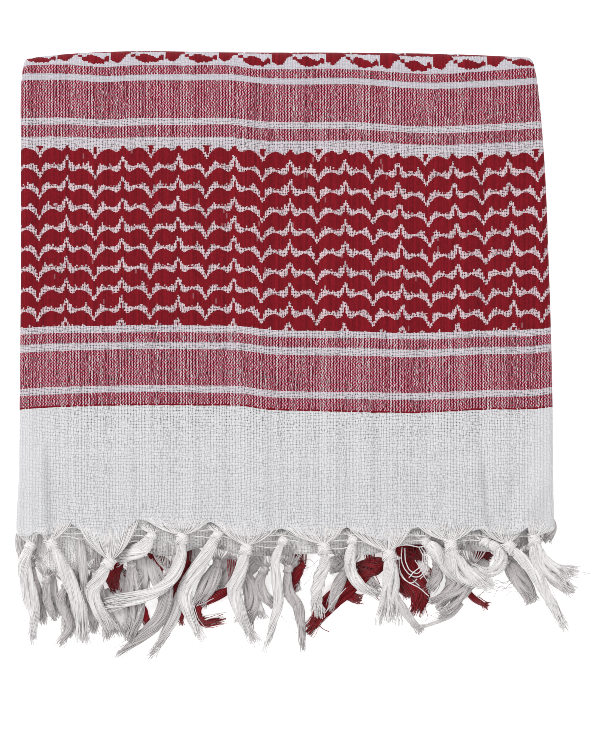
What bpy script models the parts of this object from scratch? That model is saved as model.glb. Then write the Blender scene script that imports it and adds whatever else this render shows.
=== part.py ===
"""A keffiyeh headscarf: one woven square of cotton, folded in four each way and laid flat on a table.

Its outer layer shows in three stretches: the front panel, from the knotted hem up to the top fold; the
top fold itself; and the back panel, which runs back along the table and turns up round the lower fold.
The layers inside are one rounded solid whose sides show them as separate folds. A second hem droops out
below the first. The unwoven yarns below both hems, and some red ones from the side edges, are gathered
into knots, and hang from them in locks that pile on each other and on the table.

The frame is in metres: X runs across the folded cloth, Y from the fringe up to the top fold, Z up. The
origin is the middle of the flat underside.
"""

import math

import bmesh
import bpy
import numpy as np
from mathutils import Vector

# ---------------------------------------------------------------- driving sizes
STACK_HEIGHT = 0.0180
CLOTH_WALL = 0.0012
PIECE_GAP = 0.0003
SKIN = CLOTH_WALL + PIECE_GAP

TOP_FOLD_REACH = 0.0110
LOWER_FOLD_RADIUS = STACK_HEIGHT / 4
LOWER_FOLD_Y = -0.1085
LOWER_FOLD_TURN = math.radians(165)
INNER_END_Y = -0.1080

CURL_RADIUS = 0.0030
CURL_DEPTH = 0.0042
LOWER_FOLD_CURL_DEPTH = 0.0026

HEM_DROP, HEM_DROP_FROM, HEM_DROP_TO = 0.0028, -0.080, -0.118
SHOULDER_DROP, SHOULDER_FROM, SHOULDER_TO = 0.0008, 0.065, 0.109

SECOND_HEM_FROM_Y = -0.0900
SECOND_HEM_SIDE_INSET = 0.0045
SECOND_HEM_FALL, SECOND_HEM_FALL_FROM, SECOND_HEM_FALL_TO = 0.0060, -0.1125, -0.1330

FLOOR_GAP = 0.0006
STANDING_CLEAR = 0.0004

# How finely each piece is divided.
CURL_COLUMNS = 4
FRONT_ROWS, TOP_FOLD_ROWS, BACK_ROWS, LOWER_FOLD_ROWS = 13, 7, 3, 5
SECOND_HEM_COLUMNS, SECOND_HEM_ROWS = 30, 6
LOCK_SEGMENTS, ROUTE_STEPS = 4, 6
FULL_CIRCLE = 2 * math.pi

# ---------------------------------------------------------------- the folded cloth seen from above
# Where the sides of the stack lie, from the hem to the top fold.
SIDES = (
    # y, left x, right x
    (-0.1260, -0.1352, 0.1340),
    (-0.1180, -0.1355, 0.1344),
    (-0.0950, -0.1342, 0.1340),
    (-0.0500, -0.1335, 0.1335),
    (0.0100, -0.1330, 0.1318),
    (0.0700, -0.1330, 0.1292),
    (0.1000, -0.1330, 0.1266),
    (0.1200, -0.1318, 0.1240),
)
LEFT_X, RIGHT_X = 1, 2
# How far up the top fold reaches, from left to right.
TOP_FOLD = (
    # x, y
    (-0.1340, 0.1150),
    (-0.1130, 0.1180),
    (-0.0830, 0.1200),
    (-0.0230, 0.1195),
    (0.0520, 0.1190),
    (0.0970, 0.1172),
    (0.1280, 0.1150),
)
# The edge of the front panel: high between two knots, and drawn down into a point at each knot.
FRONT_EDGE = (
    # x, y
    (-0.1360, -0.1225),
    (-0.1290, -0.1232),
    (-0.1240, -0.1195),
    (-0.1177, -0.1235),
    (-0.1060, -0.1158),
    (-0.0890, -0.1325),
    (-0.0725, -0.1143),
    (-0.0522, -0.1205),
    (-0.0370, -0.1155),
    (-0.0201, -0.1255),
    (-0.0025, -0.1190),
    (0.0190, -0.1250),
    (0.0295, -0.1183),
    (0.0515, -0.1285),
    (0.0635, -0.1180),
    (0.0825, -0.1235),
    (0.0953, -0.1190),
    (0.1120, -0.1240),
    (0.1240, -0.1160),
    (0.1310, -0.1225),
    (0.1360, -0.1195),
)
# The flat columns of the outer layer: one at each turn of that edge, and one between each two.
EDGE_TURNS = [row[0] for row in FRONT_EDGE[1:-2]]
FLAT_LEFT, FLAT_RIGHT = -0.1325, 0.1314
FLAT_COLUMNS = sorted(
    [FLAT_LEFT, FLAT_RIGHT, *EDGE_TURNS, *((a + b) / 2 for a, b in zip(EDGE_TURNS, EDGE_TURNS[1:]))]
)
FLAT_SHARES = [(x - FLAT_LEFT) / (FLAT_RIGHT - FLAT_LEFT) for x in FLAT_COLUMNS]
COLUMNS = len(FLAT_SHARES) - 1 + 2 * CURL_COLUMNS
# The edge of the second hem, which lies lower in the stack and shows between the tassels.
SECOND_EDGE = (
    # x, y
    (-0.1300, -0.1290),
    (-0.1220, -0.1385),
    (-0.1120, -0.1415),
    (-0.0980, -0.1350),
    (-0.0780, -0.1300),
    (-0.0600, -0.1335),
    (-0.0420, -0.1290),
    (-0.0200, -0.1330),
    (0.0150, -0.1320),
    (0.0430, -0.1325),
    (0.0620, -0.1275),
    (0.0900, -0.1305),
    (0.1180, -0.1290),
    (0.1300, -0.1230),
)
# Pressed creases of the front panel, as low ridges.
CREASES = (
    # x and y at the hem end, x and y at the other end, height, half width
    (-0.0118, -0.1200, -0.0178, 0.1100, 0.0008, 0.0050),
    (-0.1185, -0.1200, -0.1200, -0.0800, 0.0007, 0.0045),
    (0.1020, -0.1200, 0.0955, -0.0750, 0.0007, 0.0045),
    (0.1150, -0.1180, 0.1255, -0.0930, 0.0009, 0.0050),
)
CREASE_FADE = 0.012
SOFT_WAVES = (
    # height, wavelength across, wavelength along, phase
    (0.00020, 0.093, 0.260, 0.4),
    (0.00014, 0.047, 0.170, 1.9),
)
# The side of the hidden layers, from the bottom up: two bundles bulge between the outer layer's turned-in edges.
INNER_SIDE = (
    # height, how far in from the side of the stack
    (0.0015, 0.0034),
    (0.0030, 0.0019),
    (0.0045, 0.0018),
    (0.0052, 0.0007),
    (0.0068, 0.0002),
    (0.0084, 0.0007),
    (0.0090, 0.0020),
    (0.0096, 0.0007),
    (0.0112, 0.0002),
    (0.0128, 0.0007),
    (0.0135, 0.0018),
    (0.0150, 0.0019),
    (0.0165, 0.0034),
)
INNER_STATIONS = (-0.0980, -0.0890, -0.0840, -0.0500, 0.0000, 0.0500, 0.0900)
INNER_COLUMNS = (-0.6, -0.2, 0.2, 0.6)
TOP_FOLD_STATIONS = (0.0, 0.45, 0.75, 0.92)
TOP_FOLD_INNER_INSET = 0.0019
WAVE_CLEARANCE = 0.0005
SECOND_HEM_ROOM = (-0.0840, -0.0890)

# ---------------------------------------------------------------- the fringe
# Each row of knots: its height above the table, the size of its knots, and how many locks hang from one.
SIDE_ROW, LOWER_ROW, SMALL_ROW, FRONT_ROW = range(4)
ROWS = (
    # knot height, knot width, knot length, knot thickness, locks, colour
    (0.0028, 0.0036, 0.0036, 0.0030, 4, "red"),
    (0.0052, 0.0044, 0.0046, 0.0034, 4, "white"),
    (0.0118, 0.0042, 0.0044, 0.0034, 4, "white"),
    (0.0136, 0.0052, 0.0052, 0.0038, 5, "white"),
)
TASSELS = (
    # name, row, knot x, knot y, length, heading at the knot, halfway and at the tip (degrees)
    ("side_tassel_1", SIDE_ROW, -0.0840, -0.1345, 0.022, -72, -60, -58),
    ("side_tassel_2", SIDE_ROW, -0.0500, -0.1365, 0.024, -112, -122, -128),
    ("side_tassel_3", SIDE_ROW, -0.0270, -0.1500, 0.030, -175, -105, -5),
    ("side_tassel_4", SIDE_ROW, 0.0080, -0.1385, 0.014, -118, -112, -100),
    ("side_tassel_5", SIDE_ROW, 0.0420, -0.1425, 0.036, -148, -138, -112),
    ("side_tassel_6", SIDE_ROW, 0.0500, -0.1360, 0.014, -150, -158, -165),
    ("side_tassel_7", SIDE_ROW, 0.0640, -0.1330, 0.028, -125, -80, -58),
    ("side_tassel_8", SIDE_ROW, 0.0860, -0.1460, 0.018, -42, -38, -34),
    ("lower_tassel_01", LOWER_ROW, -0.1290, -0.1370, 0.030, -88, -82, -84),
    ("lower_tassel_02", LOWER_ROW, -0.1210, -0.1450, 0.026, -88, -88, -84),
    ("lower_tassel_03", LOWER_ROW, -0.1110, -0.1480, 0.028, -66, -104, -82),
    ("lower_tassel_04", LOWER_ROW, -0.0960, -0.1425, 0.034, -72, -78, -66),
    ("lower_tassel_05", LOWER_ROW, -0.0780, -0.1375, 0.040, -72, -96, -140),
    ("lower_tassel_06", LOWER_ROW, -0.0600, -0.1415, 0.036, -88, -106, -112),
    ("lower_tassel_07", LOWER_ROW, -0.0350, -0.1370, 0.028, -112, -122, -126),
    ("lower_tassel_08", LOWER_ROW, -0.0215, -0.1400, 0.030, -98, -84, -88),
    ("lower_tassel_09", LOWER_ROW, -0.0110, -0.1405, 0.034, -84, -92, -84),
    ("lower_tassel_10", LOWER_ROW, 0.0010, -0.1395, 0.036, -50, -72, -92),
    ("lower_tassel_11", LOWER_ROW, 0.0310, -0.1395, 0.026, -122, -120, -112),
    ("lower_tassel_12", LOWER_ROW, 0.0760, -0.1360, 0.026, -92, -112, -124),
    ("lower_tassel_13", LOWER_ROW, 0.0930, -0.1385, 0.033, -98, -138, -160),
    ("lower_tassel_14", LOWER_ROW, 0.1110, -0.1365, 0.022, -62, -60, -74),
    ("lower_tassel_15", LOWER_ROW, 0.1220, -0.1340, 0.020, -92, -98, -94),
    ("small_tassel_1", SMALL_ROW, -0.1285, -0.1275, 0.042, -90, -84, -92),
    ("small_tassel_2", SMALL_ROW, -0.0675, -0.1225, 0.032, -112, -160, -172),
    ("small_tassel_3", SMALL_ROW, -0.0345, -0.1220, 0.054, -128, -112, -66),
    ("small_tassel_4", SMALL_ROW, -0.0015, -0.1250, 0.045, -100, -90, -106),
    ("small_tassel_5", SMALL_ROW, 0.0335, -0.1245, 0.036, -98, -66, -26),
    ("small_tassel_6", SMALL_ROW, 0.0698, -0.1255, 0.033, -40, -44, -34),
    ("small_tassel_7", SMALL_ROW, 0.1000, -0.1255, 0.032, -62, -126, -178),
    ("front_tassel_1", FRONT_ROW, -0.1177, -0.1268, 0.046, -52, -72, -90),
    ("front_tassel_2", FRONT_ROW, -0.0890, -0.1362, 0.043, -126, -92, -50),
    ("front_tassel_3", FRONT_ROW, -0.0522, -0.1242, 0.053, -96, -132, -160),
    ("front_tassel_4", FRONT_ROW, -0.0201, -0.1292, 0.044, -112, -98, -62),
    ("front_tassel_5", FRONT_ROW, 0.0190, -0.1287, 0.038, -94, -108, -78),
    ("front_tassel_6", FRONT_ROW, 0.0515, -0.1322, 0.036, -98, -98, -112),
    ("front_tassel_7", FRONT_ROW, 0.0825, -0.1272, 0.046, 9, -95, -215),
    ("front_tassel_8", FRONT_ROW, 0.1120, -0.1277, 0.046, -45, -52, -68),
    ("front_tassel_9", FRONT_ROW, 0.1245, -0.1245, 0.034, -80, -62, 8),
)
LOCK_PITCH_AT_KNOT, LOCK_PITCH_AT_TIP = 0.00105, 0.0025
LOCK_THICKNESS_AT_TIP = 0.0009
LOCK_WIDTHS = (
    # share of the lock's length, width
    (0.00, 0.00100),
    (0.25, 0.00095),
    (0.60, 0.00120),
    (1.00, 0.00050),
)
LOCK_LENGTH_SPREAD = 0.07
FALL_SHARE = 0.80
PILE_SAMPLES = 4

MATERIALS = {
    "white": ((0.64, 0.64, 0.65), 0.9),
    "cloth": ((0.30, 0.07, 0.09), 0.9),
    "red": ((0.22, 0.010, 0.016), 0.85),
}


# ---------------------------------------------------------------- small tools
def along(table, at, column=1):
    """A table's column at a place, on a smooth curve through its rows."""
    places = [row[0] for row in table]
    values = [row[column] for row in table]
    slopes = np.gradient(values, places)
    at = min(max(at, places[0]), places[-1])
    low = min(int(np.searchsorted(places, at, side="right")) - 1, len(places) - 2)
    width = places[low + 1] - places[low]
    part = (at - places[low]) / width
    rise = part * part * (3 - 2 * part)
    start = part * (1 - part) ** 2 * width * slopes[low]
    end = part * part * (part - 1) * width * slopes[low + 1]
    return values[low] * (1 - rise) + values[low + 1] * rise + start + end


def between(table, at, column=1):
    """A table's column at a place, on straight lines between its rows."""
    return float(np.interp(at, [row[0] for row in table], [row[column] for row in table]))


def ease(start, end, at):
    """0 at start, 1 at end, smooth between and flat beyond."""
    part = min(max((at - start) / (end - start), 0.0), 1.0)
    return part * part * (3 - 2 * part)


def material(name):
    if name in bpy.data.materials:
        return bpy.data.materials[name]
    colour, roughness = MATERIALS[name]
    made = bpy.data.materials.new(name)
    made.use_nodes = True
    shader = made.node_tree.nodes["Principled BSDF"]
    shader.inputs["Base Color"].default_value = (*colour, 1.0)
    shader.inputs["Roughness"].default_value = roughness
    shader.inputs["Metallic"].default_value = 0.0
    made.diffuse_color = (*colour, 1.0)
    return made


def add_object(name, bm, material_name):
    """The mesh as a named object, shaded smooth, with its material."""
    mesh = bpy.data.meshes.new(name)
    bm.to_mesh(mesh)
    bm.free()
    mesh.shade_smooth()
    mesh.set_sharp_from_angle(angle=math.radians(50))
    mesh.materials.append(material(material_name))
    made = bpy.data.objects.new(name, mesh)
    bpy.context.collection.objects.link(made)
    return made


def add_wall(name, columns, rows, point, material_name):
    """A sheet whose grid is laid by point(across, along), each from 0 to 1, thickened away from its outer face."""
    bm = bmesh.new()
    bmesh.ops.create_grid(bm, x_segments=columns, y_segments=rows, size=0.5)
    for vertex in bm.verts:
        across = round((vertex.co.x + 0.5) * columns)
        up = round((vertex.co.y + 0.5) * rows)
        vertex.co = point(across, up)
    made = add_object(name, bm, material_name)
    wall = made.modifiers.new("wall", "SOLIDIFY")
    wall.thickness = CLOTH_WALL
    wall.offset = -1.0
    wall.use_even_offset = True
    return made


# ---------------------------------------------------------------- the folded cloth
def crease_height(x, y):
    total = 0.0
    for x0, y0, x1, y1, height, half_width in CREASES:
        run = Vector((x1 - x0, y1 - y0))
        offset = Vector((x - x0, y - y0))
        part = offset.dot(run) / run.length_squared
        aside = abs(offset.cross(run)) / run.length
        fade = 1 - ease(1 - CREASE_FADE / run.length, 1.0, part)
        total += height * fade * math.exp(-((aside / half_width) ** 2))
    return total


def calm_top(y):
    """The height of the stack without its creases and waves."""
    hem_drop = HEM_DROP * ease(HEM_DROP_FROM, HEM_DROP_TO, y)
    return STACK_HEIGHT - hem_drop - SHOULDER_DROP * ease(SHOULDER_FROM, SHOULDER_TO, y)


def stack_top(x, y):
    """The height of the front panel's outer face."""
    waves = sum(
        height * math.sin(FULL_CIRCLE * (x / across + y / length) + phase)
        for height, across, length, phase in SOFT_WAVES
    )
    return calm_top(y) + crease_height(x, y) + waves


def curl(across, y, depth):
    """(x, how far in from the outer face) at a column: flat between the sides, and turned in round each of them."""
    left, right = along(SIDES, y, LEFT_X), along(SIDES, y, RIGHT_X)
    radius = CURL_RADIUS * depth / CURL_DEPTH
    if across < CURL_COLUMNS:
        turns, edge, inward = CURL_COLUMNS - across, left, 1
    elif across > COLUMNS - CURL_COLUMNS:
        turns, edge, inward = across - (COLUMNS - CURL_COLUMNS), right, -1
    else:
        share = FLAT_SHARES[across - CURL_COLUMNS]
        return left + radius + (right - left - 2 * radius) * share, 0.0
    angle = min(turns / (CURL_COLUMNS - 1), 1.0) * math.pi / 2
    past_turn = depth - radius if turns == CURL_COLUMNS else 0.0
    return edge + inward * radius * (1 - math.sin(angle)), radius * (1 - math.cos(angle)) + past_turn


def top_fold_centre(x):
    return along(TOP_FOLD, x) - TOP_FOLD_REACH


def front_point(across, up):
    """From the hem's edge up to the top fold."""
    share = (up / FRONT_ROWS) ** 1.35
    x, _ = curl(across, 0.0, CURL_DEPTH)
    y = between(FRONT_EDGE, x) * (1 - share) + (top_fold_centre(x) - PIECE_GAP / 2) * share
    x, depth = curl(across, y, CURL_DEPTH)
    height = stack_top(x, y)
    return Vector((x, y, height - depth * height / STACK_HEIGHT))


def top_fold_point(across, up):
    """Half round from the front, over the fold, to the underside."""
    start = PIECE_GAP / 2 / TOP_FOLD_REACH
    angle = math.pi / 2 - start - (math.pi - 2 * start) * up / TOP_FOLD_ROWS
    x, _ = curl(across, SIDES[-1][0], CURL_DEPTH)
    centre = top_fold_centre(x)
    x, depth = curl(across, centre + TOP_FOLD_REACH * math.cos(angle), CURL_DEPTH)
    half = stack_top(x, centre) / 2
    reach = TOP_FOLD_REACH - depth
    return Vector((x, centre + reach * math.cos(angle), half + (half - depth) * math.sin(angle)))


def back_point(across, up):
    """From the top fold along the table, then up round the lower fold."""
    x, _ = curl(across, 0.0, CURL_DEPTH)
    start = top_fold_centre(x) - PIECE_GAP / 2
    if up <= BACK_ROWS:
        share = up / BACK_ROWS
        y = start * (1 - share) + LOWER_FOLD_Y * share
        x, depth = curl(across, y, CURL_DEPTH * (1 - share) + LOWER_FOLD_CURL_DEPTH * share)
        return Vector((x, y, depth))
    angle = LOWER_FOLD_TURN * (up - BACK_ROWS) / LOWER_FOLD_ROWS
    x, depth = curl(across, LOWER_FOLD_Y, LOWER_FOLD_CURL_DEPTH)
    radius = LOWER_FOLD_RADIUS - depth
    return Vector(
        (x, LOWER_FOLD_Y - radius * math.sin(angle), LOWER_FOLD_RADIUS - radius * math.cos(angle))
    )


def second_hem_top(y):
    """The height of the second hem's upper face: just under the front panel, then drooping."""
    fall = SECOND_HEM_FALL * ease(SECOND_HEM_FALL_FROM, SECOND_HEM_FALL_TO, y)
    return calm_top(y) - WAVE_CLEARANCE - SKIN - fall


def second_hem_point(across, up):
    y = SECOND_HEM_FROM_Y
    left = along(SIDES, y, LEFT_X) + SECOND_HEM_SIDE_INSET
    right = along(SIDES, y, RIGHT_X) - SECOND_HEM_SIDE_INSET
    x = left + (right - left) * across / SECOND_HEM_COLUMNS
    share = up / SECOND_HEM_ROWS
    y = between(SECOND_EDGE, x) * (1 - share) + SECOND_HEM_FROM_Y * share
    return Vector((x, y, second_hem_top(y)))


def slice_across(bm, axis, places):
    """Cuts the mesh by a plane at each place along an axis, so that its rows can be moved."""
    normal = Vector((0.0, 0.0, 0.0))
    normal[axis] = 1.0
    for place in places:
        geometry = bm.verts[:] + bm.edges[:] + bm.faces[:]
        bmesh.ops.bisect_plane(bm, geom=geometry, plane_co=normal * place, plane_no=normal)


def inner_station(share):
    """(y, how much of the height is left) at a station of the hidden layers; past 0 they round inside the top fold."""
    centre = top_fold_centre(0.0)
    if share <= 0.0:
        return centre, 1.0
    reach = TOP_FOLD_REACH - SKIN - PIECE_GAP
    return centre + reach * share, math.sqrt(1 - share * share)


def add_inner_layers():
    """A block, sliced at its stations and side levels and then shaped: rounded at the top fold, layered at its sides."""
    bm = bmesh.new()
    bmesh.ops.create_cube(bm, size=2.0)
    levels = [row[0] for row in INNER_SIDE]
    stations = [INNER_END_Y, *INNER_STATIONS]
    half_levels = (len(levels) - 1) / 2
    last_station = len(stations) - 1 + len(TOP_FOLD_STATIONS)
    slice_across(bm, 2, [index / half_levels - 1 for index in range(1, len(levels) - 1)])
    slice_across(bm, 1, [2 * index / last_station - 1 for index in range(1, last_station)])
    slice_across(bm, 0, INNER_COLUMNS)
    for vertex in bm.verts:
        level = INNER_SIDE[round((vertex.co.z + 1) * half_levels)]
        station = round((vertex.co.y + 1) / 2 * last_station)
        height, inset, squeeze = level[0], level[1], 1.0
        if station < len(stations):
            y = stations[station]
        else:
            y, squeeze = inner_station(TOP_FOLD_STATIONS[station - len(stations)])
            inset = max(inset, TOP_FOLD_INNER_INSET)
        middle = (along(SIDES, y, LEFT_X) + along(SIDES, y, RIGHT_X)) / 2
        half = (along(SIDES, y, RIGHT_X) - along(SIDES, y, LEFT_X)) / 2 - inset
        x = middle + half * vertex.co.x
        if station >= len(stations):
            y += top_fold_centre(x) - top_fold_centre(0.0)
        local = calm_top(y) - WAVE_CLEARANCE
        height *= local / STACK_HEIGHT
        under_second_hem = (SKIN + PIECE_GAP) * ease(*SECOND_HEM_ROOM, y)
        height = min(height, local - SKIN - under_second_hem)
        middle_height = local / 2
        vertex.co = Vector((x, y, middle_height + (height - middle_height) * squeeze))
    return add_object("inner_layers", bm, "cloth")


# ---------------------------------------------------------------- the fringe
class Pile:
    """What the locks lie on: the second hem, and every knot and lock laid so far."""

    def __init__(self):
        self.starts, self.ends, self.halves, self.tops = [], [], [], []

    def add(self, start, end, half_width, start_top, end_top):
        self.starts.append(start)
        self.ends.append(end)
        self.halves.append(half_width)
        self.tops.append((start_top, end_top))

    def top_near(self, place, half_width):
        """The highest top within reach of a place, or 0 where nothing lies."""
        if not self.starts:
            return 0.0
        starts, ends = np.array(self.starts), np.array(self.ends)
        tops = np.array(self.tops)
        runs = ends - starts
        lengths = np.maximum((runs**2).sum(axis=1), 1e-12)
        parts = ((place - starts) * runs).sum(axis=1) / lengths
        nearest = starts + runs * np.clip(parts, 0.0, 1.0)[:, None]
        reach = np.array(self.halves) + half_width + STANDING_CLEAR
        touching = ((nearest - place) ** 2).sum(axis=1) < reach**2
        if not touching.any():
            return 0.0
        window = reach / np.sqrt(lengths)
        low = np.clip(parts - window, 0.0, 1.0)
        high = np.clip(parts + window, 0.0, 1.0)
        found = np.maximum(
            tops[:, 0] * (1 - low) + tops[:, 1] * low, tops[:, 0] * (1 - high) + tops[:, 1] * high
        )
        return float(found[touching].max())


def heading_at(headings, share):
    return math.radians(float(np.interp(share, (0.0, 0.5, 1.0), headings)))


def lock_route(knot, headings, length, aside, knot_length):
    """The plan points of one lock, set aside from the tassel's middle line by aside(share)."""
    middle = np.array(knot) + knot_length / 2 * direction(heading_at(headings, 0.0))
    route = [middle + aside(0.0) * left_of(heading_at(headings, 0.0))]
    stride = length / LOCK_SEGMENTS / ROUTE_STEPS
    for segment in range(1, LOCK_SEGMENTS + 1):
        for step in range(ROUTE_STEPS):
            share = (segment - 1 + (step + 0.5) / ROUTE_STEPS) / LOCK_SEGMENTS
            middle = middle + stride * direction(heading_at(headings, share))
        share = segment / LOCK_SEGMENTS
        route.append(middle + aside(share) * left_of(heading_at(headings, share)))
    return route


def direction(angle):
    return np.array((math.cos(angle), math.sin(angle)))


def left_of(angle):
    return np.array((-math.sin(angle), math.cos(angle)))


def lock_sizes(share, knot_thickness):
    """(width, thickness) of a lock, part of the way along it."""
    return between(LOCK_WIDTHS, share), knot_thickness * 0.8 * (1 - share) + LOCK_THICKNESS_AT_TIP * share


def ground_under(pile, place, half_width, row):
    """The top of what lies under a place: the pile and, under the two upper rows, the second hem."""
    top = pile.top_near(place, half_width)
    x, y = float(place[0]), float(place[1])
    if row >= SMALL_ROW and y > between(SECOND_EDGE, x) - half_width - PIECE_GAP:
        top = max(top, second_hem_top(y) + PIECE_GAP)
    return top


def segment_need(pile, route, segment, thickness, row):
    """How high the middle of a lock's segment has to lie to clear what is under it."""
    need = 0.0
    for sample in range(PILE_SAMPLES + 1):
        part = sample / PILE_SAMPLES
        place = route[segment] * (1 - part) + route[segment + 1] * part
        share = (segment + part) / LOCK_SEGMENTS
        width, thick = lock_sizes(share, thickness)
        need = max(need, ground_under(pile, place, width / 2, row) + thick / 2 + STANDING_CLEAR)
    return need


def lay_tassel(pile, row, x, y, length, headings, index):
    """The knot's place and each lock's points, resting on the pile, and then part of it."""
    knot_height, width, knot_length, thickness, count, _ = ROWS[row]
    routes = []
    for lock in range(count):
        side = lock - (count - 1) / 2
        own_length = length * (1 + LOCK_LENGTH_SPREAD * math.sin(2.3 * lock + 1.7 * index))
        routes.append(
            lock_route(
                (x, y),
                headings,
                own_length,
                lambda share, side=side: side
                * (LOCK_PITCH_AT_KNOT * (1 - share) + LOCK_PITCH_AT_TIP * share),
                knot_length,
            )
        )
    ahead = direction(heading_at(headings, 0.0)) * knot_length / 2
    back, front = np.array((x, y)) - ahead, np.array((x, y)) + ahead
    under = max(
        ground_under(pile, back * (1 - part) + front * part, width / 2, row)
        for part in (0.0, 0.25, 0.5, 0.75, 1.0)
    )
    height = max(knot_height, under + thickness / 2 + STANDING_CLEAR)
    locks = []
    for route in routes:
        needs = [
            segment_need(pile, route, segment, thickness, row) for segment in range(LOCK_SEGMENTS)
        ]
        heights = [height]
        for ring in range(1, LOCK_SEGMENTS + 1):
            share = ring / LOCK_SEGMENTS
            low = lock_sizes(share, thickness)[1] / 2 + FLOOR_GAP
            fallen = low + (height - low) * (1 - ease(0.0, FALL_SHARE, share))
            heights.append(max(fallen, needs[ring - 1], needs[min(ring, LOCK_SEGMENTS - 1)]))
        locks.append(list(zip(route, heights)))
    pile.add(back, front, width / 2, height + thickness / 2, height + thickness / 2)
    for lock in locks:
        for segment, ((start, start_z), (end, end_z)) in enumerate(zip(lock, lock[1:])):
            start_size = lock_sizes(segment / LOCK_SEGMENTS, thickness)
            end_size = lock_sizes((segment + 1) / LOCK_SEGMENTS, thickness)
            half_width = max(start_size[0], end_size[0]) / 2
            pile.add(
                start, end, half_width, start_z + start_size[1] / 2, end_z + end_size[1] / 2
            )
    return height, locks


def add_tassel(name, row, x, y, headings, height, locks):
    """A round knot, whose front is one face for each lock, and the locks drawn out of those faces."""
    _, width, knot_length, thickness, count, colour = ROWS[row]
    angle = heading_at(headings, 0.0)
    bm = bmesh.new()
    bmesh.ops.create_cube(bm, size=2.0)
    slice_across(bm, 1, [2 * index / count - 1 for index in range(1, count)])
    slice_across(bm, 0, [0.0])
    front = [face for face in bm.faces if face.calc_center_median().x > 0.99]
    front.sort(key=lambda face: face.calc_center_median().y)
    # Round in section, fullest in the middle, and as wide as its locks at the front.
    mouth = count * LOCK_PITCH_AT_KNOT / width
    for vertex in bm.verts:
        along_knot, aside, up = vertex.co
        round_side = math.sqrt(1 - aside * aside / 3)
        full = 1.0 if abs(along_knot) < 0.5 else (mouth if along_knot > 0 else 0.7)
        spread = aside * full * width / 2
        plan = np.array((x, y)) + along_knot * knot_length / 2 * direction(angle) + spread * left_of(angle)
        thick = thickness * round_side * (1.0 if abs(along_knot) < 0.5 else 0.8)
        vertex.co = Vector((plan[0], plan[1], height + up * thick / 2))
    for face, lock in zip(front, locks):
        corners = list(face.verts)
        centre = face.calc_center_median()
        side_axis = Vector((*left_of(angle), 0.0))
        signs = [
            (
                1 if (corner.co - centre).dot(side_axis) > 0 else -1,
                1 if corner.co.z > centre.z else -1,
            )
            for corner in corners
        ]
        for ring in range(1, LOCK_SEGMENTS + 1):
            face = bmesh.ops.extrude_discrete_faces(bm, faces=[face])["faces"][0]
            share = ring / LOCK_SEGMENTS
            plan, z = lock[ring]
            lock_width, lock_thick = lock_sizes(share, thickness)
            side = left_of(heading_at(headings, share))
            for corner, (aside, up) in zip(face.verts, signs):
                spot = plan + side * aside * lock_width / 2
                corner.co = Vector((spot[0], spot[1], z + up * lock_thick / 2))
    return add_object(name, bm, colour)


def add_fringe():
    pile = Pile()
    for index, (name, row, x, y, length, *headings) in enumerate(TASSELS):
        height, locks = lay_tassel(pile, row, x, y, length, headings, index)
        add_tassel(name, row, x, y, headings, height, locks)


def main():
    for old in list(bpy.data.objects):
        bpy.data.objects.remove(old)
    bpy.context.scene.unit_settings.system = "METRIC"
    add_wall("front_panel", COLUMNS, FRONT_ROWS, front_point, "cloth")
    add_wall("top_fold", COLUMNS, TOP_FOLD_ROWS, top_fold_point, "cloth")
    add_wall("back_panel", COLUMNS, BACK_ROWS + LOWER_FOLD_ROWS, back_point, "cloth")
    add_wall("second_hem", SECOND_HEM_COLUMNS, SECOND_HEM_ROWS, second_hem_point, "white")
    add_inner_layers()
    add_fringe()


main()
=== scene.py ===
# %% [markdown]
# # A keffiyeh, folded flat
# A keffiyeh is one square of open cotton weave with a knotted fringe. Folded in four each way it is a soft
# stack about 18 mm high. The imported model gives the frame: where the outer cloth, the second hem and every
# tassel lie. The lesson dresses that frame with woven cloth and loose yarns.
# %% Load the frame
import bisect
import collections
import functools
import math
import types

import bmesh
import bpy
import numpy as np
from mathutils import Matrix, Vector


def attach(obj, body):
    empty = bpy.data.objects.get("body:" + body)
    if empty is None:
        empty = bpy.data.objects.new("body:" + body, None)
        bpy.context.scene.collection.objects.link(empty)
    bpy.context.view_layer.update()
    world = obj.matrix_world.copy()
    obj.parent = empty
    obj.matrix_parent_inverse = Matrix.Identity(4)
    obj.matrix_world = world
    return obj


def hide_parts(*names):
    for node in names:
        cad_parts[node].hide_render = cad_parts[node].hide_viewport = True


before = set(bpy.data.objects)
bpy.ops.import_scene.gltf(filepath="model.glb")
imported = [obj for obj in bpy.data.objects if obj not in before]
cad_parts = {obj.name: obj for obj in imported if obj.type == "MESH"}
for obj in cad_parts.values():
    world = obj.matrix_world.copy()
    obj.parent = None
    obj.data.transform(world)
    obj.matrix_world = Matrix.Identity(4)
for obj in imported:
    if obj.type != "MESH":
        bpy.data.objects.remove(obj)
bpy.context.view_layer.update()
print("frame:", len(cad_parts), "nodes")

# %% [markdown]
# ## The camera
# The cloth lies on a pale table and is looked at from straight above, so the camera hangs over the stack and
# its fringe and looks down. A long lens keeps the sides of the stack from showing. The weave is about as fine
# as the grain of a render, so neither the denoiser nor the pixel filter may blur it.
# %% The camera
VIEW_CENTRE = (0.0070, -0.0420)
VIEW_HEIGHT = 0.3750
LENS, SENSOR = 120.0, 36.0
STACK_HEIGHT = 0.0180
CAMERA_RISE = VIEW_HEIGHT * LENS / SENSOR
FILTER_WIDTH = 0.9

camera_data = bpy.data.cameras.new("camera")
camera_data.lens = LENS
camera_data.sensor_width = SENSOR
camera = bpy.data.objects.new("camera", camera_data)
camera.location = (*VIEW_CENTRE, STACK_HEIGHT + CAMERA_RISE)
bpy.context.scene.collection.objects.link(camera)
bpy.context.scene.camera = camera
bpy.context.scene.view_settings.view_transform = "Standard"
bpy.context.scene.cycles.denoising_prefilter = "NONE"
bpy.context.scene.cycles.filter_width = FILTER_WIDTH
print("camera:", round(CAMERA_RISE, 3), "m above the cloth")

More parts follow.
